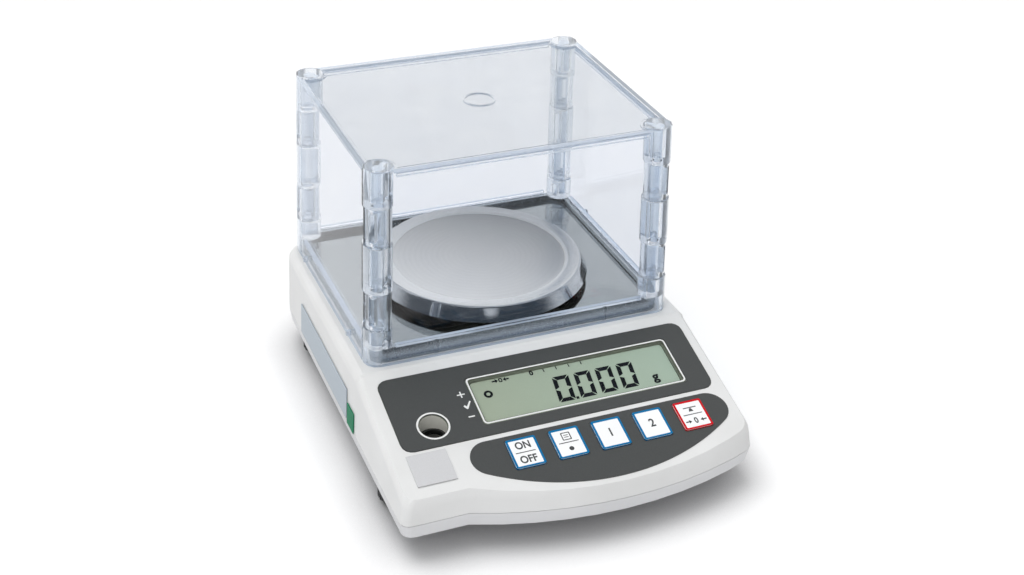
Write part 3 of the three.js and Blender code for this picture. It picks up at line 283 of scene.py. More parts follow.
def drawn_steel(name, base, shade, rough, stretch, line_mm=0.25, depth=0.004, well=None):
    """Rolled sheet steel with fine lines; well is a round of painted shadow: centre, radius,
    colour.
    """
    finish = Finish(name, base, rough, metal=1.0)
    lines = finish.noise(line_mm, detail=3, stretch=stretch)
    cloud = finish.noise(size_mm=30, detail=3)
    tinted = finish.tint(finish.spread(lines, "Fac", 0, 0.5), "Result", shade)
    tinted = finish.tint(finish.spread(cloud, "Fac", 0, 0.4), "Result", shade, tinted)
    # A near-black round about the given centre: painted shadow.
    if well:
        (x, y), reach, black = well
        middle = finish.mapping(stretch=(1, 1, 0), shift=(-x * MM, -y * MM, 0))
        length = finish.node("ShaderNodeVectorMath", operation="LENGTH")
        finish.wire(middle, "Vector", length, "Vector")
        inside = finish.spread(length, "Value", 1, 0, (reach - 1) * MM, (reach + 1) * MM)
        finish.tint(inside, "Result", black, tinted)
    finish.vary_roughness(lines, "Fac", spread=0.05)
    finish.bump(lines, "Fac", depth, strength=0.5)
    return finish.material


def spun_steel(name, base, shade, rough, centre, ring_mm=0.5, depth=0.004, painted_reflection=None):
    """Steel spun about an upright axis: faint rings, and a painted reflection that may darken the
    tone towards one side.
    """
    finish = Finish(name, base, rough, metal=1.0)
    middle = finish.mapping(shift=(-centre[0] * MM, -centre[1] * MM, 0))
    rings = finish.node("ShaderNodeTexWave", wave_type="RINGS", rings_direction="Z")
    rings.inputs["Scale"].default_value = 1 / (ring_mm * MM) / 6.0
    rings.inputs["Distortion"].default_value = 0.15
    rings.inputs["Detail"].default_value = 1.0
    finish.wire(middle, "Vector", rings, "Vector")
    cloud = finish.noise(size_mm=24, detail=3)
    tinted = finish.tint(finish.spread(rings, "Fac", 0, 0.3, 0, 1), "Result", shade)
    tinted = finish.tint(finish.spread(cloud, "Fac", 0, 0.35), "Result", shade, tinted)
    # A gradient across the pan darkens the colour towards one side: a painted reflection of the
    # studio.
    if painted_reflection:
        turned = finish.mapping(
            stretch=(9, 9, 9), shift=(0.165, 0, 0), turn=(0, 0, math.radians(-50)),
        )
        across = finish.node("ShaderNodeTexGradient")
        finish.wire(turned, "Vector", across, "Vector")
        finish.tint(finish.spread(across, "Fac", 0, 1, 0, 1), "Result", painted_reflection, tinted)
    finish.vary_roughness(rings, "Fac", spread=0.03)
    finish.bump(rings, "Fac", depth, strength=0.4)
    return finish.material


def clear_moulding(
    name, base, haze, rough=0.03, ior=1.12, milk=0.0, coat=1.0, flow=(1, 1, 1), flow_mm=18,
):
    """Clear acrylic that lets the lamps through; milk is the share that shows its own tint."""
    finish = Finish(name, base, rough, coat=coat, ior=ior)
    finish.set("Coat Roughness", 0.03)
    finish.set("Transmission Weight", 1.0 - milk)
    smear = finish.noise(flow_mm, detail=3, stretch=flow)
    wear = finish.noise(size_mm=7, detail=4)
    waviness = finish.noise(size_mm=14, detail=1)
    finish.tint(finish.spread(smear, "Fac", 0, 0.6), "Result", haze)
    finish.vary_roughness(wear, "Fac", spread=rough * 0.5)
    finish.bump(waviness, "Fac", height_mm=0.02, strength=0.2)
    lamps = finish.node("ShaderNodeLightPath")
    see = finish.node("ShaderNodeBsdfTransparent")
    see.inputs["Color"].default_value = (0.93, 0.95, 0.97, 1)
    blend = finish.node("ShaderNodeMixShader")
    connect(
        finish.tree,
        (lamps, "Is Shadow Ray", blend, 0),
        (finish.shader, "BSDF", blend, 1),
        (see, "BSDF", blend, 2),
        (blend, "Shader", finish.out, "Surface"),
    )
    return finish.material


def ink(name, base, shade, rough=0.45):
    """Screen-printed ink, slightly uneven."""
    finish = Finish(name, base, rough, shine=0.15)
    grain = finish.noise(size_mm=0.3, detail=3)
    finish.tint(finish.spread(grain, "Fac", 0, 0.5), "Result", shade)
    finish.vary_roughness(grain, "Fac", spread=0.06)
    finish.bump(grain, "Fac", height_mm=0.004, strength=0.4)
    return finish.material


def display_glass(name):
    """The display's reflective back: sage green, paler to the right, with a fine speckle."""
    finish = Finish(name, (0.342, 0.388, 0.298), 0.4, shine=0.15)
    middle = finish.mapping(stretch=(9.0, 0, 0), shift=(0.36, 0, 0))
    ramp = finish.node("ShaderNodeTexGradient")
    finish.wire(middle, "Vector", ramp, "Vector")
    to_right = finish.spread(ramp, "Fac", 0, 1, 0, 1)
    across = finish.tint(to_right, "Result", (0.365, 0.458, 0.378))
    speck = finish.noise(size_mm=0.35, detail=3)
    finish.tint(finish.spread(speck, "Fac", 0, 0.35), "Result", (0.285, 0.33, 0.257), across)
    finish.vary_roughness(speck, "Fac", spread=0.05)
    finish.bump(speck, "Fac", height_mm=0.004, strength=0.4)
    return finish.material


HOUSING = moulded_plastic("housing_plastic", (0.76, 0.765, 0.765), (0.66, 0.665, 0.66), 0.42)
# The lower housing takes the housing plastic painted a little darker: painted shade on the lower
# half.
TUB_SHADED = moulded_plastic("lower_housing_shaded_plastic", (0.73, 0.735, 0.75), (0.63, 0.635, 0.65), 0.45)
FILM = printed_film(
    "panel_film", (0.066, 0.070, 0.070), (0.052, 0.055, 0.056), 0.45, shine=0.25,
)
KEYCAP = moulded_plastic(
    "key_plastic", (0.92, 0.93, 0.94), (0.86, 0.87, 0.88), 0.34, grain_mm=0.3, depth=0.006,
)
BLUE_INK = ink("key_border_blue", (0.001, 0.160, 0.375), (0.001, 0.135, 0.32))
RED_INK = ink("key_border_red", (0.62, 0.004, 0.012), (0.50, 0.003, 0.010))
WHITE_INK = ink("panel_ink_white", (0.80, 0.81, 0.80), (0.70, 0.71, 0.70))
GREY_INK = ink("key_ink_grey", (0.060, 0.064, 0.066), (0.09, 0.095, 0.1))
SEGMENT = ink("display_segment", (0.003, 0.004, 0.007), (0.006, 0.007, 0.011), 0.5)
# Dark ring inside the display's frame line: painted shadow.
INNER_SHADOW_INK = ink("display_inner_shadow", (0.085, 0.095, 0.075), (0.065, 0.072, 0.057), 0.5)
# The housing's ledge under the display window is painted a dark display green: painted shade
# inside the window's recess.
LEDGE_SHADE = moulded_plastic(
    "display_ledge_painted_shade", (0.22, 0.245, 0.19), (0.18, 0.20, 0.155), 0.5, shine=0.15,
)
DISPLAY_GREEN = display_glass("display_green")
# The chamber floor is painted near-black under the pan: painted shadow.
FLOOR_STEEL = drawn_steel(
    "chamber_floor_steel", (0.45, 0.48, 0.49), (0.385, 0.415, 0.43), 0.11,
    stretch=(1, 0.04, 1), line_mm=0.6, depth=0.001,
    well=(PAN_CENTRE, PAINTED_SHADOW_RADIUS, (0.012, 0.015, 0.017)),
)
RIM_STEEL = drawn_steel(
    "chamber_rim_steel", (0.52, 0.56, 0.59), (0.42, 0.46, 0.50), 0.24,
    stretch=(1, 0.04, 1), line_mm=0.6, depth=0.001,
)
# The face and the band are painted darker towards one side: a painted reflection.
PAN_STEEL = spun_steel(
    "pan_steel", (0.87, 0.87, 0.865), (0.80, 0.805, 0.80), 0.32, PAN_CENTRE,
    ring_mm=1.6, depth=0.002, painted_reflection=(0.21, 0.225, 0.24),
)
BAND_STEEL = spun_steel(
    "pan_band_steel", (0.88, 0.885, 0.88), (0.81, 0.82, 0.82), 0.24, PAN_CENTRE,
    ring_mm=1.6, depth=0.002, painted_reflection=(0.42, 0.44, 0.46),
)
# The skirt is the pan's own steel painted darker than its face: painted shade for the dark
# reflections the skirt shows.
SKIRT_SHADED_STEEL = spun_steel(
    "pan_skirt_shaded_steel", (0.50, 0.525, 0.55), (0.42, 0.445, 0.47), 0.08, PAN_CENTRE,
    ring_mm=1.2, depth=0.002,
)
# The pan's underside is painted near-black: painted shade under the pan.
UNDERSIDE_SHADE_STEEL = spun_steel(
    "pan_underside_painted_shade", (0.012, 0.015, 0.015), (0.008, 0.010, 0.010), 0.3, PAN_CENTRE,
    ring_mm=1.2, depth=0.002,
)
SHEET = clear_moulding(
    "shield_sheet", (0.90, 0.915, 0.94), (0.865, 0.885, 0.925), 0.03, ior=1.08, coat=0.45,
)
POST = clear_moulding(
    "shield_post", (0.90, 0.93, 0.96), (0.50, 0.61, 0.76), 0.05, ior=1.3, milk=0.12,
    flow=(1, 1, 0.05), flow_mm=3.0,
)
EDGE = clear_moulding(
    "shield_edge", (0.62, 0.69, 0.79), (0.52, 0.61, 0.73), 0.12, ior=1.14, milk=0.5,
)
LID = clear_moulding(
    "shield_lid_clear", (0.79, 0.81, 0.83), (0.74, 0.765, 0.795), 0.05, ior=1.08, coat=0.6,
)
WINDOW = clear_moulding(
    "display_window_clear", (0.97, 0.975, 0.97), (0.95, 0.955, 0.95), 0.02, ior=1.03, coat=0.0,
)
# The level well is painted as shade: lens and vial near-black for the shadow at its bottom, walls
# a darker cream than the housing for the shade in the recess.
LENS_SHADOW = clear_moulding("level_lens_painted_shadow", (0.10, 0.11, 0.10), (0.05, 0.055, 0.05), ior=1.3)
LEVEL_WELL_SHADE = moulded_plastic("level_well_painted_shade", (0.66, 0.655, 0.60), (0.58, 0.575, 0.53), 0.45)
VIAL_SHADOW = moulded_plastic("level_vial_painted_shadow", (0.014, 0.015, 0.014), (0.022, 0.023, 0.022), 0.35)
RUBBER = moulded_plastic(
    "foot_rubber", (0.016, 0.016, 0.017), (0.024, 0.024, 0.025), 0.7, grain_mm=0.6, depth=0.03,
)
BLACK = moulded_plastic(
    "black_plastic", (0.018, 0.019, 0.020), (0.028, 0.029, 0.03), 0.5, grain_mm=0.4, depth=0.02,
)
ALUMINIUM = drawn_steel(
    "cast_aluminium", (0.70, 0.71, 0.72), (0.58, 0.59, 0.60), 0.38,
    stretch=(1, 1, 1), line_mm=0.9, depth=0.02,
)
BRASS = spun_steel("turned_brass", (0.62, 0.43, 0.14), (0.52, 0.35, 0.11), 0.28, (0, 0))
BOARD = moulded_plastic(
    "solder_resist", (0.012, 0.10, 0.045), (0.010, 0.07, 0.03), 0.32, grain_mm=0.8, depth=0.01,
)
LABEL = printed_film(
    "side_label_film", (0.43, 0.49, 0.545), (0.385, 0.445, 0.50), 0.4, shine=0.3,
)
SEAL = printed_film("side_seal_film", (0.003, 0.20, 0.092), (0.003, 0.17, 0.08), 0.5, shine=0.12)
STICKER = printed_film(
    "capacity_sticker_film", (0.60, 0.605, 0.62), (0.54, 0.545, 0.56), 0.32, coat=0.3,
)


# Dressed copies of the CAD nodes
MERGE_DISTANCE = 2e-6
FLAT_DEGREES = 0.4
BEVEL_DEGREES = 5
EDGE_TILT = 0.6
CROWN_TILT = 0.95


def dressed(
    node, material, edge_mm=0.25, smooth_deg=35, others=(), zone=None, edge=-1, reshape=None,
):
    """A merged copy of a CAD node with softened edges; zone picks each face's finish, edge
    the bevels', and reshape moves its points."""
    source = NODES[node]
    mesh = source.data.copy()
    body = source["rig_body"]
    mesh.materials.clear()
    for finish in (material, *others):
        mesh.materials.append(finish)
    work = bmesh.new()
    work.from_mesh(mesh)
    if reshape:
        for vert in work.verts:
            vert.co = reshape(vert.co)
    bmesh.ops.remove_doubles(work, verts=work.verts, dist=MERGE_DISTANCE)
    bmesh.ops.dissolve_limit(
        work, angle_limit=math.radians(FLAT_DEGREES), verts=work.verts, edges=work.edges,
    )
    for face in work.faces:
        face.smooth = True
        if zone:
            face.material_index = zone(face.calc_center_median() / MM, face.normal)
    work.to_mesh(mesh)
    work.free()
    mesh.set_sharp_from_angle(angle=math.radians(smooth_deg))
    piece = bpy.data.objects.new("work", mesh)
    bevel = piece.modifiers.new("edge", "BEVEL")
    bevel.width = edge_mm * MM
    bevel.segments = 2
    bevel.limit_method = "ANGLE"
    bevel.angle_limit = math.radians(smooth_deg + BEVEL_DEGREES)
    bevel.use_clamp_overlap = True
    bevel.material = edge
    weigh = piece.modifiers.new("faces", "WEIGHTED_NORMAL")
    weigh.keep_sharp = True
    piece = settle(piece)
    return put(piece, node + "_piece", body, (node,))


def wall_zone(point, normal):
    """1 on the corner posts, 2 on a wall's upper and lower edges, 0 on the clear sheet."""
    lean = SHIELD_LEAN * (point.z - SHIELD_BOTTOM_Z) / SHIELD_TALL
    middle = sum(SHIELD_Y) / 2
    across = SHIELD_HALF - lean - abs(point.x)
    deep = (SHIELD_Y[1] - SHIELD_Y[0]) / 2 - lean - abs(point.y - middle)
    if across < POST_REACH and deep < POST_REACH:
        return 1
    return 2 if abs(normal.z) > EDGE_TILT else 0


def lid_zone(point, normal):
    """1 round the lid's edge and its boss, 0 on the clear sheet."""
    return 1 if abs(normal.z) < EDGE_TILT else 0


def housing_zone(point, normal):
    """1 on the rim round the chamber floor, 2 under the display window and 3 in the level well,
    both painted darker as shade.
    """
    if point.z > RIM_FOOT_Z:
        return 1
    x, rise, h = panel_matrix().inverted() @ (point * MM) / MM
    left, right, top, low = DISPLAY
    # Painted shade on the ledge under the display window
    if -LEDGE_DEPTH < h < -PANEL_SKIN and left < x < right and top < -rise < low:
        return 2
    reach = math.hypot(x - LEVEL[0], -rise - LEVEL[1])
    # Painted shade on the walls of the level well
    if -WELL_DEPTH < h < -PANEL_SKIN and reach < LEVEL[2] + WELL_LIP:
        return 3
    return 0


def key_zone(point, normal):
    """1 on a key's sides and the step round its crown, 0 on the crown."""
    side = normal.dot(Vector((0, -math.sin(PANEL_SLOPE), math.cos(PANEL_SLOPE))))
    return 0 if side > CROWN_TILT else 1


def flush_pocket(spot):
    """The key film lies on the panel, so the floor of its pocket comes up flush."""
    on_panel = panel_matrix().inverted() @ spot
    low, high = POCKET_FLOOR
    if not low * MM < on_panel.z < high * MM or -on_panel.y < KEY_POCKET_W * MM:
        return spot
    return panel_matrix() @ Vector((on_panel.x, on_panel.y, 0))


dressed(
    "upper_housing", HOUSING, 0.3,
    others=(RIM_STEEL, LEDGE_SHADE, LEVEL_WELL_SHADE), zone=housing_zone, reshape=flush_pocket,
)
for name, material, slot, edge_mm in (
    ("lower_housing", TUB_SHADED, "housing", 0.3),
    ("chamber_floor", FLOOR_STEEL, "steel", 0.2),
    ("upper_overlay", FILM, "overlay", 0.08),
    ("display_window", WINDOW, "clear", 0.1),
    ("lcd_glass", DISPLAY_GREEN, "lcd", 0.15),
    ("lcd_holder", BLACK, "black_plastic", 0.2),
    ("capacity_sticker", STICKER, "label", 0.05),
    ("side_label", LABEL, "label", 0.05),
    ("side_seal", SEAL, "seal", 0.05),
    ("level_vial", VIAL_SHADOW, "vial", 0.15),
    ("level_lens", LENS_SHADOW, "vial", 0.15),
    ("pan_support", ALUMINIUM, "aluminium", 0.25),
    ("load_spindle", ALUMINIUM, "steel", 0.2),
    ("force_sensor", ALUMINIUM, "aluminium", 0.3),
    ("sensor_frame", ALUMINIUM, "aluminium", 0.4),
    ("main_board", BOARD, "board", 0.1),
    ("key_board", BOARD, "board", 0.1),
    ("power_socket", BLACK, "black_plastic", 0.2),
    ("data_socket", ALUMINIUM, "steel", 0.2),
):
    dressed(name, material, edge_mm)
for name in KEYS:
    border = RED_INK if name == "tare" else BLUE_INK
    dressed("key_" + name, KEYCAP, 0.2, others=(border,), zone=key_zone, edge=1)
    dressed("switch_" + name, BLACK, 0.15)
for name in ("front", "back", "left", "right"):
    dressed("shield_" + name, SHEET, 0.15, 40, others=(POST, EDGE), zone=wall_zone)
dressed("shield_lid", LID, 0.2, 40, others=(EDGE,), zone=lid_zone)
for name in "abcd":
    dressed("pan_pad_" + name, RUBBER, 0.3)
for corner in CORNERS:
    dressed("foot_sole_" + corner, RUBBER, 0.3)
    dressed("foot_knob_" + corner, BLACK, 0.3)
    dressed("foot_insert_" + corner, BRASS, 0.15)
    dressed("case_screw_" + corner, ALUMINIUM, 0.15)


# Weighing pan: its turned section as radius and height, in millimetres
PAN_FACE = [
    (0, 74.2), (20, 74.2), (44.5, 74.2), (46.0, 74.25), (46.8, 74.45), (47.4, 74.75),
    (48.2, 75.0), (49.2, 75.1), (53.6, 75.1),
]
PAN_ROLL = (54.1, 73.5, 1.6, 84, 24)
PAN_SKIRT = [
    (56.9, 71.4), (58.2, 69.2), (58.85, 68.15), (58.98, 67.95), (58.9, 67.8), (58.4, 67.8),
]
PAN_UNDERSIDE = [
    (57.9, 68.05), (56.0, 71.3), (54.7, 73.3), (53.4, 74.05), (48.0, 73.9), (46.8, 73.3),
    (44.0, 73.2), (0, 73.2),
]
PAN_EDGE_RADIUS = 58.7
PAN_SKIRT_RADIUS = 54.4
PAN_BAND_RADIUS = 46.9
PAN_TURNS = 160


def lathe(profile, centre):
    """A closed ring of profile points turned about an upright axis, in millimetres."""
    work = bmesh.new()
    rings = []
    for radius, z in profile:
        if radius == 0:
            rings.append([work.verts.new((centre[0] * MM, centre[1] * MM, z * MM))])
            continue
        rings.append([
            work.verts.new((
                (centre[0] + radius * math.cos(2 * math.pi * k / PAN_TURNS)) * MM,
                (centre[1] + radius * math.sin(2 * math.pi * k / PAN_TURNS)) * MM,
                z * MM,
            ))
            for k in range(PAN_TURNS)
        ])
    for low, high in zip(rings, rings[1:]):
        for k in range(PAN_TURNS):
            corners = [
                low[k % len(low)], low[(k + 1) % len(low)],
                high[(k + 1) % len(high)], high[k % len(high)],
            ]
            work.faces.new(list(dict.fromkeys(corners)))
    bmesh.ops.recalc_face_normals(work, faces=work.faces)
    mesh = bpy.data.meshes.new("lathe")
    for face in work.faces:
        face.smooth = True
    work.to_mesh(mesh)
    work.free()
    return mesh


def arc(cx, cz, radius, start, end, steps=6):
    """Points along an arc, from one angle to another in degrees."""
    return [
        (cx + radius * math.cos(math.radians(start + (end - start) * k / steps)),
         cz + radius * math.sin(math.radians(start + (end - start) * k / steps)))
        for k in range(steps + 1)
    ]


def weighing_pan():
    """The pan: a dished face inside a pressed ring, a band, a rolled edge and a flared skirt."""
    mesh = lathe(PAN_FACE + arc(*PAN_ROLL) + PAN_SKIRT + PAN_UNDERSIDE, PAN_CENTRE)
    for finish in (PAN_STEEL, BAND_STEEL, SKIRT_SHADED_STEEL, UNDERSIDE_SHADE_STEEL):
        mesh.materials.append(finish)
    for face in mesh.polygons:
        middle = face.center / MM
        reach = math.hypot(middle.x, middle.y - PAN_Y)
        # Downward faces inside the pan's edge take the underside's painted shade.
        if face.normal.z <= 0 and reach <= PAN_EDGE_RADIUS:
            face.material_index = 3
        elif reach > PAN_SKIRT_RADIUS:
            face.material_index = 2
        elif reach > PAN_BAND_RADIUS:
            face.material_index = 1
    mesh.set_sharp_from_angle(angle=math.radians(50))
    pan = bpy.data.objects.new("pan", mesh)
    put(pan, "weighing_pan_piece", "pan", ("weighing_pan",))


weighing_pan()


# Flat drawings on the panel
def rounded(x0, x1, w0, w1, radius, steps=6):
    """A rounded rectangle as a loop of points, y up the slope."""
    loop = []
    for cx, cy, start in (
        (x1 - radius, -w0 - radius, 0), (x0 + radius, -w0 - radius, 90),
        (x0 + radius, -w1 + radius, 180), (x1 - radius, -w1 + radius, 270),
    ):
        loop += arc(cx, cy, radius, start, start + 90, steps)
    return loop


def round_loop(cx, w, radius, steps=48):
    """A circle as a loop of points."""
    return arc(cx, -w, radius, 0, 360 * (1 - 1 / steps), steps - 1)


def bar(x0, w0, x1, w1, width):
    """A straight stroke between two points."""
    run = Vector((x1 - x0, w0 - w1))
    side = Vector((-run.y, run.x)).normalized() * width / 2
    start, end = Vector((x0, -w0)), Vector((x1, -w1))
    return [tuple(p) for p in (start - side, end - side, end + side, start + side)]


def arrow(x, w, length, height, turn):
    """A short arrow that points right, or left where turn is -1."""
    shaft, head = height * 0.16, length * 0.45
    tip, tail = x + turn * length / 2, x - turn * length / 2
    neck = tip - turn * head
    return [
        (tail, -w - shaft), (neck, -w - shaft), (neck, -w - height / 2), (tip, -w),
        (neck, -w + height / 2), (neck, -w + shaft), (tail, -w + shaft),
    ]


def stencil(name, loops, height, material, body, thick=INK_THICK, replaces=()):
    """Inked shapes lying on the panel at a height above it."""
    curve = bpy.data.curves.new(name, "CURVE")
    curve.dimensions = "2D"
    curve.fill_mode = "BOTH"
    curve.extrude = thick / 2 * MM
    for loop in loops:
        line = curve.splines.new("POLY")
        line.points.add(len(loop) - 1)
        line.use_cyclic_u = True
        for point, (x, y) in zip(line.points, loop):
            point.co = (x * MM, y * MM, 0, 1)
    piece = settle(bpy.data.objects.new(name, curve))
    piece.data.transform(panel_matrix(h=height + thick / 2))
    piece.data.materials.clear()
    piece.data.materials.append(material)
    return put(piece, name, body, replaces)


def letters(name, rows, height, material, body, thick=INK_THICK, bold=0.14, narrow=1.0):
    """Printed characters: each row is text, x, w of its middle, and its size."""
    meshes = bmesh.new()
    for text, x, w, size in rows:
        font = bpy.data.curves.new(name, "FONT")
        font.body = text
        font.size = size * MM * 1.4
        font.align_x = "CENTER"
        font.align_y = "CENTER"
        font.extrude = thick / 2 * MM
        font.offset = bold * MM
        piece = settle(bpy.data.objects.new(name, font))
        squeeze = Matrix.Diagonal((narrow, 1, 1, 1))
        piece.data.transform(panel_matrix(x, w, height + thick / 2) @ squeeze)
        meshes.from_mesh(piece.data)
        bpy.data.objects.remove(piece)
    mesh = bpy.data.meshes.new(name)
    meshes.to_mesh(mesh)
    meshes.free()
    mesh.materials.append(material)
    return put(bpy.data.objects.new(name, mesh), name, body)


def key_film_outline(left=-53.6, right=85.5, top=53.2, low=89.9, end=10.0):
    """The key film's edge: straight along the top, round at both ends, bowed at the bottom."""
    half, drop = (right - left) / 2 - end, low - top - end
    bow = (half ** 2 + drop ** 2 - end ** 2) / (drop - end) / 2
    middle = (left + right) / 2
    reach = math.degrees(math.atan2(bow - drop, half))
    return (
        arc(right - end, -top - end, end, -reach, 90, 24)
        + arc(left + end, -top - end, end, 90, 180 + reach, 24)
        + arc(middle, bow - low, bow, 180 + reach, 360 - reach, 60)[1:-1]
    )


def key_edges(index, inset):
    """A key's left and right x and its upper and lower w, drawn in by an inset."""
    x = KEY_FIRST_X + KEY_PITCH * index
    return (
        x - KEY_WIDTH / 2 + inset, x + KEY_WIDTH / 2 - inset,
        KEY_TOP_W + inset, KEY_TOP_W + KEY_LENGTH - inset,
    )


openings = [rounded(*key_edges(k, -KEY_GAP), 1.2) for k in range(len(KEYS))]
stencil(
    "key_overlay_piece", [key_film_outline(), *openings], 0.0, FILM, "case",
    FILM_TOP, ("key_overlay",),
)

# Window frame line, the painted inner shadow inside it, level ring and the three tolerance marks
x0, x1, w0, w1 = DISPLAY
window_top = panel_height("display_window")
stencil("display_frame_line", [
    rounded(x0 + 0.15, x1 - 0.15, w0 + 0.15, w1 - 0.15, 2.2),
    rounded(x0 + 1.0, x1 - 1.0, w0 + 1.0, w1 - 1.0, 1.6),
], window_top, WHITE_INK, "case")
# A thin dark ring just inside the frame line: painted shadow along the window's inner edge.
stencil("display_inner_shadow_line", [
    rounded(x0 + 1.0, x1 - 1.0, w0 + 1.0, w1 - 1.0, 1.6),
    rounded(x0 + 1.3, x1 - 1.3, w0 + 1.3, w1 - 1.2, 1.4),
], window_top, INNER_SHADOW_INK, "case", SEGMENT_THICK)
stencil("level_ring_line", [
    round_loop(LEVEL[0], LEVEL[1], LEVEL[2] + 1.05),
    round_loop(LEVEL[0], LEVEL[1], LEVEL[2] + 0.12),
], FILM_TOP, WHITE_INK, "case")
plus_mark = [
    (-46.4, -22.4), (-44.7, -22.4), (-44.7, -20.8), (-44.0, -20.8), (-44.0, -22.4),
    (-42.3, -22.4), (-42.3, -23.1), (-44.0, -23.1), (-44.0, -24.7), (-44.7, -24.7),
    (-44.7, -23.1), (-46.4, -23.1),
]
tick_mark = [
    (-45.6, -30.2), (-44.8, -29.5), (-43.9, -30.6), (-41.6, -27.4), (-41.0, -27.9),
    (-43.7, -32.2), (-44.3, -32.2),
]
minus_mark = bar(-45.4, 37.1, -42.1, 37.1, 0.75)
stencil(
    "tolerance_marks", [plus_mark, tick_mark, minus_mark], FILM_TOP, WHITE_INK,
    "case",
)

# Key borders and legends: text, how far its middle lies below the key's top, and its size
LEGENDS = {
    "on_off": [("ON", 4.7, 4.2), ("OFF", 13.2, 4.2)],
    "units": [("1", 8.6, 4.9)],
    "function": [("2", 8.6, 4.9)],
    "tare": [("0", 12.9, 3.4)],
}


def key_rule(x, top):
    """The line between a key's upper and lower halves."""
    return bar(x - 5.2, top + 8.7, x + 5.2, top + 8.7, 0.5)


def print_marks(x, top):
    """A written sheet over a round dot."""
    return [
        rounded(x - 2.4, x + 2.4, top + 2.6, top + 7.3, 0.4),
        rounded(x - 1.85, x + 1.85, top + 3.1, top + 6.8, 0.2),
        bar(x - 1.2, top + 4.3, x + 1.2, top + 4.3, 0.4),
        bar(x - 1.2, top + 5.5, x + 1.2, top + 5.5, 0.4),
        round_loop(x, top + 12.6, 1.25, 28),
    ]


def tare_marks(x, top):
    """A small weight under a line, over two arrows that point at a nought."""
    return [
        arrow(x - 4.1, top + 12.9, 3.4, 2.2, 1),
        arrow(x + 4.1, top + 12.9, 3.4, 2.2, -1),
        bar(x - 3.6, top + 4.4, x + 3.6, top + 4.4, 0.6),
        [(x - 1.3, -top - 6.9), (x + 1.3, -top - 6.9),
         (x + 0.5, -top - 4.9), (x - 0.5, -top - 4.9)],
    ]


def print_key(index, name):
    """Prints a key's border, legend and marks, which ride on the key."""
    x = KEY_FIRST_X + KEY_PITCH * index
    half = KEY_WIDTH / 2
    top, low = KEY_TOP_W, KEY_TOP_W + KEY_LENGTH
    border = RED_INK if name == "tare" else BLUE_INK
    stencil("border_" + name, [
        rounded(*key_edges(index, 0.03), 1.0),
        rounded(x - half + 1.15, x + half - 1.15, top + 1.2, low - 1.0, 0.35),
    ], KEY_TOP, border, name)
    rows = [(text, x, top + w, size) for text, w, size in LEGENDS.get(name, [])]
    if rows:
        letters(
            "legend_" + name, rows, KEY_TOP, GREY_INK, name, bold=0.16, narrow=0.86,
        )
    marks = []
    if name in ("on_off", "print", "tare"):
        marks.append(key_rule(x, top))
    if name == "print":
        marks += print_marks(x, top)
    if name == "tare":
        marks += tare_marks(x, top)
    if marks:
        stencil("marks_" + name, marks, KEY_TOP, GREY_INK, name)


for index, name in enumerate(KEYS):
    print_key(index, name)

# Display segments on the glass under the window, in millimetres; LEAN is their slant
glass_top = panel_height("lcd_glass")
DIGITS = 4
DIGIT_TALL = 16.4
DIGIT_WIDE = 9.0
DIGIT_FIRST_X = 2.3
DIGIT_PITCH = 11.9
DIGIT_FOOT_W = 40.35
STROKE = 2.35
LEAN = 0.125
MITRE = 0.10
BLUNT = 0.4
WAIST = 0.22
WAIST_CUT = 0.1
WAIST_SLANT = STROKE * 0.45
POINT_SPOT = (12.5, 39.6)
RING_SPOT = (-30.9, 26.0)
UNIT_SPOT = (57.4, 36.9)
ZERO_MARK_SPOT = (-21.8, 18.9)
SCALE_ZERO_SPOT = (-4.8, 18.6)
TICKS_SPOT = (2.1, 18.4)


def on_glass(x, w):
    """Where a mark on the deeper glass is put, so that it looks to be at x and w."""
    depth = FILM_TOP - glass_top
    return x + SIGHT_ACROSS * depth, w - SIGHT_UP * depth


def digit(left, foot_w):
    """A nought in slanted segments, with mitred ends and open waists."""
    tall, wide, stroke = DIGIT_TALL, DIGIT_WIDE, STROKE
    outer, inner = BLUNT + MITRE, STROKE + MITRE
    high, low = tall / 2 + WAIST, tall / 2 - WAIST
    roof = [
        (outer, tall), (wide - outer, tall), (wide - inner, tall - stroke),
        (inner, tall - stroke),
    ]
    foot = [(outer, 0), (inner, stroke), (wide - inner, stroke), (wide - outer, 0)]
    upper = [
        (0, tall - outer), (stroke, tall - inner), (stroke, high + WAIST_SLANT),
        (0, high - WAIST_CUT),
    ]
    lower = [
        (0, outer), (0, low + WAIST_CUT), (stroke, low - WAIST_SLANT), (stroke, inner),
    ]
    mirrored = [[(wide - x, y) for x, y in side] for side in (upper, lower)]
    return [
        [(left + x + LEAN * y, -foot_w + y) for x, y in segment]
        for segment in (roof, foot, upper, lower, *mirrored)
    ]


def show_reading():
    """The weight's noughts and their point, the ring at the left and the unit."""
    loops = []
    for k in range(DIGITS):
        loops += digit(*on_glass(DIGIT_FIRST_X + DIGIT_PITCH * k, DIGIT_FOOT_W))
    x, w = on_glass(*POINT_SPOT)
    loops.append(rounded(x - 0.75, x + 0.75, w - 0.8, w + 0.8, 0.2))
    x, w = on_glass(*RING_SPOT)
    loops += [round_loop(x, w, 2.35, 32), round_loop(x, w, 1.05, 32)]
    stencil("display_digits", loops, glass_top, SEGMENT, "case", SEGMENT_THICK)
    letters(
        "display_unit", [("g", *on_glass(*UNIT_SPOT), 5.4)], glass_top, SEGMENT,
        "case", SEGMENT_THICK, bold=0.3,
    )


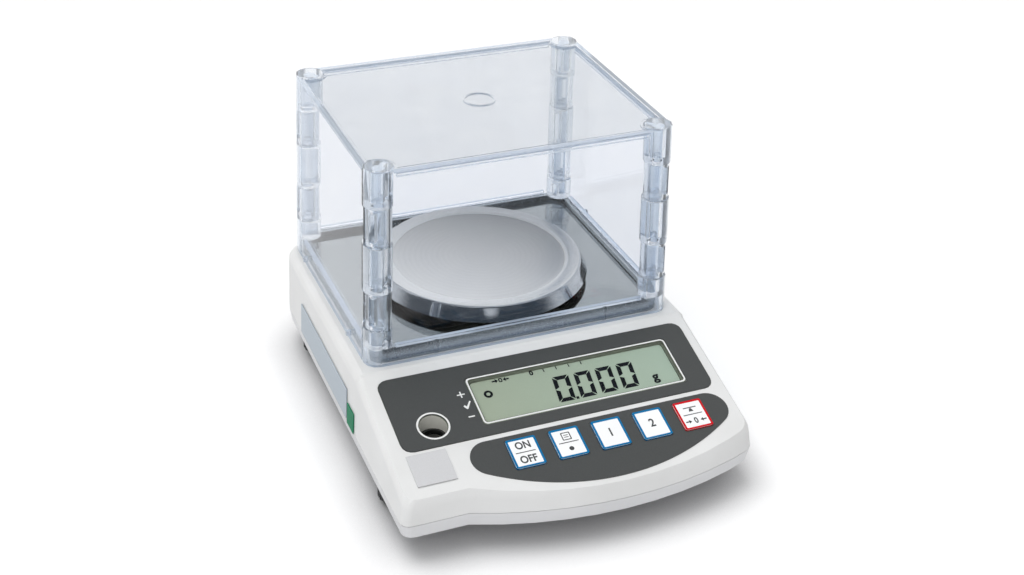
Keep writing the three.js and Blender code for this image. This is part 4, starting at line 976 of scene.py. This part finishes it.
def show_zero_marks():
    """A nought between two arrows, and the nought at the start of the load scale."""
    x, w = on_glass(*ZERO_MARK_SPOT)
    stencil("display_zero_mark", [
        arrow(x - 3.0, w, 3.3, 2.7, 1), arrow(x + 3.0, w, 3.3, 2.7, -1),
        rounded(x - 1.0, x + 1.0, w - 1.3, w + 1.3, 0.6),
        rounded(x - 0.4, x + 0.4, w - 0.7, w + 0.7, 0.3),
    ], glass_top, SEGMENT, "case", SEGMENT_THICK)
    letters(
        "display_scale_zero", [("0", *on_glass(*SCALE_ZERO_SPOT), 2.8)], glass_top, SEGMENT,
        "case", SEGMENT_THICK, bold=0.2,
    )


show_reading()
show_zero_marks()


# Repeated pieces by Geometry Nodes
def tree_with(name, inputs):
    """A node tree with named inputs, its input node and its output node."""
    tree = bpy.data.node_groups.new(name, "GeometryNodeTree")
    for label, kind in inputs:
        tree.interface.new_socket(label, in_out="INPUT", socket_type="NodeSocket" + kind)
    tree.interface.new_socket("Geometry", in_out="OUTPUT", socket_type="NodeSocketGeometry")
    return tree, tree.nodes.new("NodeGroupInput"), tree.nodes.new("NodeGroupOutput")


def finish_tree(tree, each, given, finish, out):
    """Makes the copies real and gives them the material of the input that finish names."""
    real = tree.nodes.new("GeometryNodeRealizeInstances")
    paint = tree.nodes.new("GeometryNodeSetMaterial")
    connect(
        tree,
        (each, "Instances", real, "Geometry"),
        (real, "Geometry", paint, "Geometry"),
        (given, finish, paint, "Material"),
        (paint, "Geometry", out, "Geometry"),
    )


def scale_tick_tree():
    """A row of flat ticks a pitch apart."""
    tree, given, out = tree_with("scale_ticks", (
        ("Count", "Int"), ("Pitch", "Float"), ("Tick Size", "Vector"), ("Ink", "Material"),
    ))
    row = tree.nodes.new("GeometryNodeMeshLine")
    step = tree.nodes.new("ShaderNodeCombineXYZ")
    tick = tree.nodes.new("GeometryNodeMeshCube")
    each = tree.nodes.new("GeometryNodeInstanceOnPoints")
    connect(
        tree,
        (given, "Count", row, "Count"),
        (given, "Pitch", step, "X"),
        (step, "Vector", row, "Offset"),
        (given, "Tick Size", tick, "Size"),
        (row, "Mesh", each, "Points"),
        (tick, "Mesh", each, "Instance"),
    )
    finish_tree(tree, each, given, "Ink", out)
    return tree


def grip_rib_tree():
    """Upright ribs set evenly round a knob."""
    tree, given, out = tree_with("grip_ribs", (
        ("Count", "Int"), ("Radius", "Float"), ("Rib Radius", "Float"), ("Rib Height", "Float"),
        ("Plastic", "Material"),
    ))
    ring = tree.nodes.new("GeometryNodeMeshCircle")
    rib = tree.nodes.new("GeometryNodeMeshCylinder")
    rib.inputs["Vertices"].default_value = 8
    each = tree.nodes.new("GeometryNodeInstanceOnPoints")
    smooth = tree.nodes.new("GeometryNodeSetShadeSmooth")
    connect(
        tree,
        (given, "Count", ring, "Vertices"),
        (given, "Radius", ring, "Radius"),
        (given, "Rib Radius", rib, "Radius"),
        (given, "Rib Height", rib, "Depth"),
        (ring, "Mesh", each, "Points"),
        (rib, "Mesh", smooth, "Geometry"),
        (smooth, "Geometry", each, "Instance"),
    )
    finish_tree(tree, each, given, "Plastic", out)
    return tree


def grown(name, tree, values, matrix, body):
    """Runs a node tree with its named inputs and puts the result in place."""
    piece = bpy.data.objects.new(name, bpy.data.meshes.new(name))
    modifier = piece.modifiers.new(name, "NODES")
    modifier.node_group = tree
    sockets = {s.name: s.identifier for s in tree.interface.items_tree if s.in_out == "INPUT"}
    for label, value in values.items():
        modifier[sockets[label]] = value
    piece = settle(piece)
    piece.data.transform(matrix)
    return put(piece, name, body)


TICKS = {
    "Count": 4, "Pitch": 6.95 * MM, "Tick Size": (0.55 * MM, 2.1 * MM, SEGMENT_THICK * MM),
    "Ink": SEGMENT,
}
TICK_LIFT = 0.012
RIBS = {
    "Count": 18, "Radius": 8.75 * MM, "Rib Radius": 0.75 * MM, "Rib Height": 4.2 * MM,
    "Plastic": BLACK,
}
RIB_MIDDLE_Z = 6.6 * MM
tick_row = panel_matrix(*on_glass(*TICKS_SPOT), glass_top + TICK_LIFT)
grown("display_scale_ticks", scale_tick_tree(), TICKS, tick_row, "case")
rib_tree = grip_rib_tree()
for corner in CORNERS:
    low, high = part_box("foot_sole_" + corner)
    middle = (low + high) / 2
    knob_axis = Matrix.Translation((middle.x, middle.y, RIB_MIDDLE_Z))
    grown("grip_ribs_" + corner, rib_tree, RIBS, knob_axis, "knob_" + corner)


# Floor, light and camera: lengths in metres, angles in degrees
FLOOR_HALF = 12.0
CONTACT_REACH = 0.030
CONTACT_RANGE = (0.25, 0.97)
SOFT_LIGHT = 0.39
SEEN_LIGHT = 1.0
LAMPS = (("key_lamp", 1.72, 40, (-16, 0, 62)), ("fill_lamp", 0.8, 60, (50, 0, -28)))
FRONT_TURN = 23
FRONT_RANGE = (-0.1, 0.35, 0.0, 1.0)
PATCH_SCALE = 1.7
PATCH_RANGE = (0.38, 0.43, 0.0, 1.0)
FRONT_SHADE = (0.05, 0.068, 0.09, 1)
CAMERA_ANGLES = (-23.42, 30.851, 2.008)
CAMERA_DISTANCE = 0.797049
AIM_HEIGHT = 0.080
AIM_RIGHT = 0.002158
AIM_DOWN = 0.002844
FOCAL_LENGTH_PX = 1529.795
PICTURE_WIDTH_PX = 1024
SENSOR_WIDTH_MM = 36


def lay_floor():
    """A white floor whose contact shadow deepens close to the part."""
    half = FLOOR_HALF
    mesh = bpy.data.meshes.new("floor")
    mesh.from_pydata(
        [(-half, -half, 0), (half, -half, 0), (half, half, 0), (-half, half, 0)],
        [], [(0, 1, 2, 3)],
    )
    finish = Finish("studio_floor", (0.90, 0.90, 0.905), 0.7)
    paper = finish.noise(size_mm=60, detail=2)
    tinted = finish.tint(finish.spread(paper, "Fac", 0, 0.3), "Result", (0.88, 0.88, 0.885))
    nearby = finish.node("ShaderNodeAmbientOcclusion", samples=8)
    nearby.inputs["Distance"].default_value = CONTACT_REACH
    shadow = finish.spread(nearby, "AO", 1, 0, *CONTACT_RANGE)
    finish.tint(shadow, "Result", (0.34, 0.34, 0.35), tinted)
    seen = seen_rays(finish.tree, finish.node("ShaderNodeLightPath"))
    lift = finish.node("ShaderNodeMath", operation="MULTIPLY")
    glow = finish.node("ShaderNodeEmission")
    both = finish.node("ShaderNodeAddShader")
    connect(
        finish.tree,
        (seen, "Value", lift, 0),
        (finish.spread(nearby, "AO", 0.03, 0.10, *CONTACT_RANGE), "Result", lift, 1),
        (lift, "Value", glow, "Strength"),
        (finish.shader, "BSDF", both, 0),
        (glow, "Emission", both, 1),
        (both, "Shader", finish.out, "Surface"),
    )
    mesh.materials.append(finish.material)
    floor = bpy.data.objects.new("studio_floor", mesh)
    bpy.context.scene.collection.objects.link(floor)


def studio_shade(tree, path, white):
    """Polished metal mirrors the dim front half of the studio, which stands at -Y."""
    place = tree.nodes.new("ShaderNodeTexCoord")
    turn = tree.nodes.new("ShaderNodeMapping")
    turn.inputs["Rotation"].default_value = (0, 0, math.radians(FRONT_TURN))
    split = tree.nodes.new("ShaderNodeSeparateXYZ")
    clouds = tree.nodes.new("ShaderNodeTexNoise")
    clouds.inputs["Scale"].default_value = PATCH_SCALE
    clouds.inputs["Detail"].default_value = 0.0
    front, patch = (tree.nodes.new("ShaderNodeMapRange") for _ in range(2))
    front.interpolation_type = "SMOOTHSTEP"
    for node, values in ((front, FRONT_RANGE), (patch, PATCH_RANGE)):
        for socket, value in zip(RANGE_SOCKETS, values):
            node.inputs[socket].default_value = value
    both, only, flip, mirrored = (tree.nodes.new("ShaderNodeMath") for _ in range(4))
    both.operation = only.operation = flip.operation = "MULTIPLY"
    flip.inputs[1].default_value = -1.0
    mirrored.operation = "MINIMUM"
    mirrored.inputs[1].default_value = 1.0
    shade = tree.nodes.new("ShaderNodeMix")
    shade.data_type = "RGBA"
    colours = [s for s in shade.inputs if s.type == "RGBA"]
    colours[0].default_value = (1, 1, 1, 1)
    colours[1].default_value = FRONT_SHADE
    connect(
        tree,
        (place, "Generated", turn, "Vector"),
        (turn, "Vector", split, "Vector"),
        (split, "Y", flip, 0),
        (flip, "Value", front, "Value"),
        (place, "Generated", clouds, "Vector"),
        (clouds, "Fac", patch, "Value"),
        (front, "Result", both, 0),
        (patch, "Result", both, 1),
        (both, "Value", only, 0),
        (path, "Glossy Depth", mirrored, 0),
        (mirrored, "Value", only, 1),
        (only, "Value", shade, 0),
    )
    result = [s for s in shade.outputs if s.type == "RGBA"][0]
    tree.links.new(result, white.inputs["Color"])


def light_scene():
    """A white studio, softer as a light than it is to the eye, and two lamps."""
    world = bpy.data.worlds.new("studio")
    bpy.context.scene.world = world
    world.use_nodes = True
    tree = world.node_tree
    tree.nodes.clear()
    out = tree.nodes.new("ShaderNodeOutputWorld")
    soft, white = (tree.nodes.new("ShaderNodeBackground") for _ in range(2))
    for node, strength in ((soft, SOFT_LIGHT), (white, SEEN_LIGHT)):
        node.inputs["Color"].default_value = (1, 1, 1, 1)
        node.inputs["Strength"].default_value = strength
    path = tree.nodes.new("ShaderNodeLightPath")
    mix = tree.nodes.new("ShaderNodeMixShader")
    connect(
        tree,
        (seen_rays(tree, path), "Value", mix, 0),
        (soft, "Background", mix, 1),
        (white, "Background", mix, 2),
        (mix, "Shader", out, "Surface"),
    )
    studio_shade(tree, path, white)
    for name, strength, spread, turn in LAMPS:
        lamp = bpy.data.lights.new(name, "SUN")
        lamp.energy = strength
        lamp.angle = math.radians(spread)
        obj = bpy.data.objects.new(name, lamp)
        obj.rotation_euler = [math.radians(a) for a in turn]
        obj.visible_glossy = obj.visible_transmission = False
        bpy.context.scene.collection.objects.link(obj)


def place_camera():
    """The camera that was fitted to the photograph: azimuth, elevation, roll and aim point."""
    azimuth, elevation, roll = (math.radians(a) for a in CAMERA_ANGLES)
    back = Vector((
        math.sin(azimuth) * math.cos(elevation),
        -math.cos(azimuth) * math.cos(elevation),
        math.sin(elevation),
    ))
    right = Vector((math.cos(azimuth), math.sin(azimuth), 0))
    up = back.cross(right)
    level_right = right * math.cos(roll) + up * math.sin(roll)
    level_up = up * math.cos(roll) - right * math.sin(roll)
    aim = Vector((0, 0, AIM_HEIGHT)) + level_right * AIM_RIGHT - level_up * AIM_DOWN
    camera = bpy.data.cameras.new("camera")
    camera.sensor_width = SENSOR_WIDTH_MM
    camera.lens = SENSOR_WIDTH_MM * FOCAL_LENGTH_PX / PICTURE_WIDTH_PX
    obj = bpy.data.objects.new("camera", camera)
    turn = Matrix((level_right, level_up, back)).transposed().to_4x4()
    obj.matrix_world = Matrix.Translation(aim + back * CAMERA_DISTANCE) @ turn
    bpy.context.scene.collection.objects.link(obj)
    bpy.context.scene.camera = obj


lay_floor()
light_scene()
place_camera()
bpy.context.scene.view_settings.view_transform = "Standard"
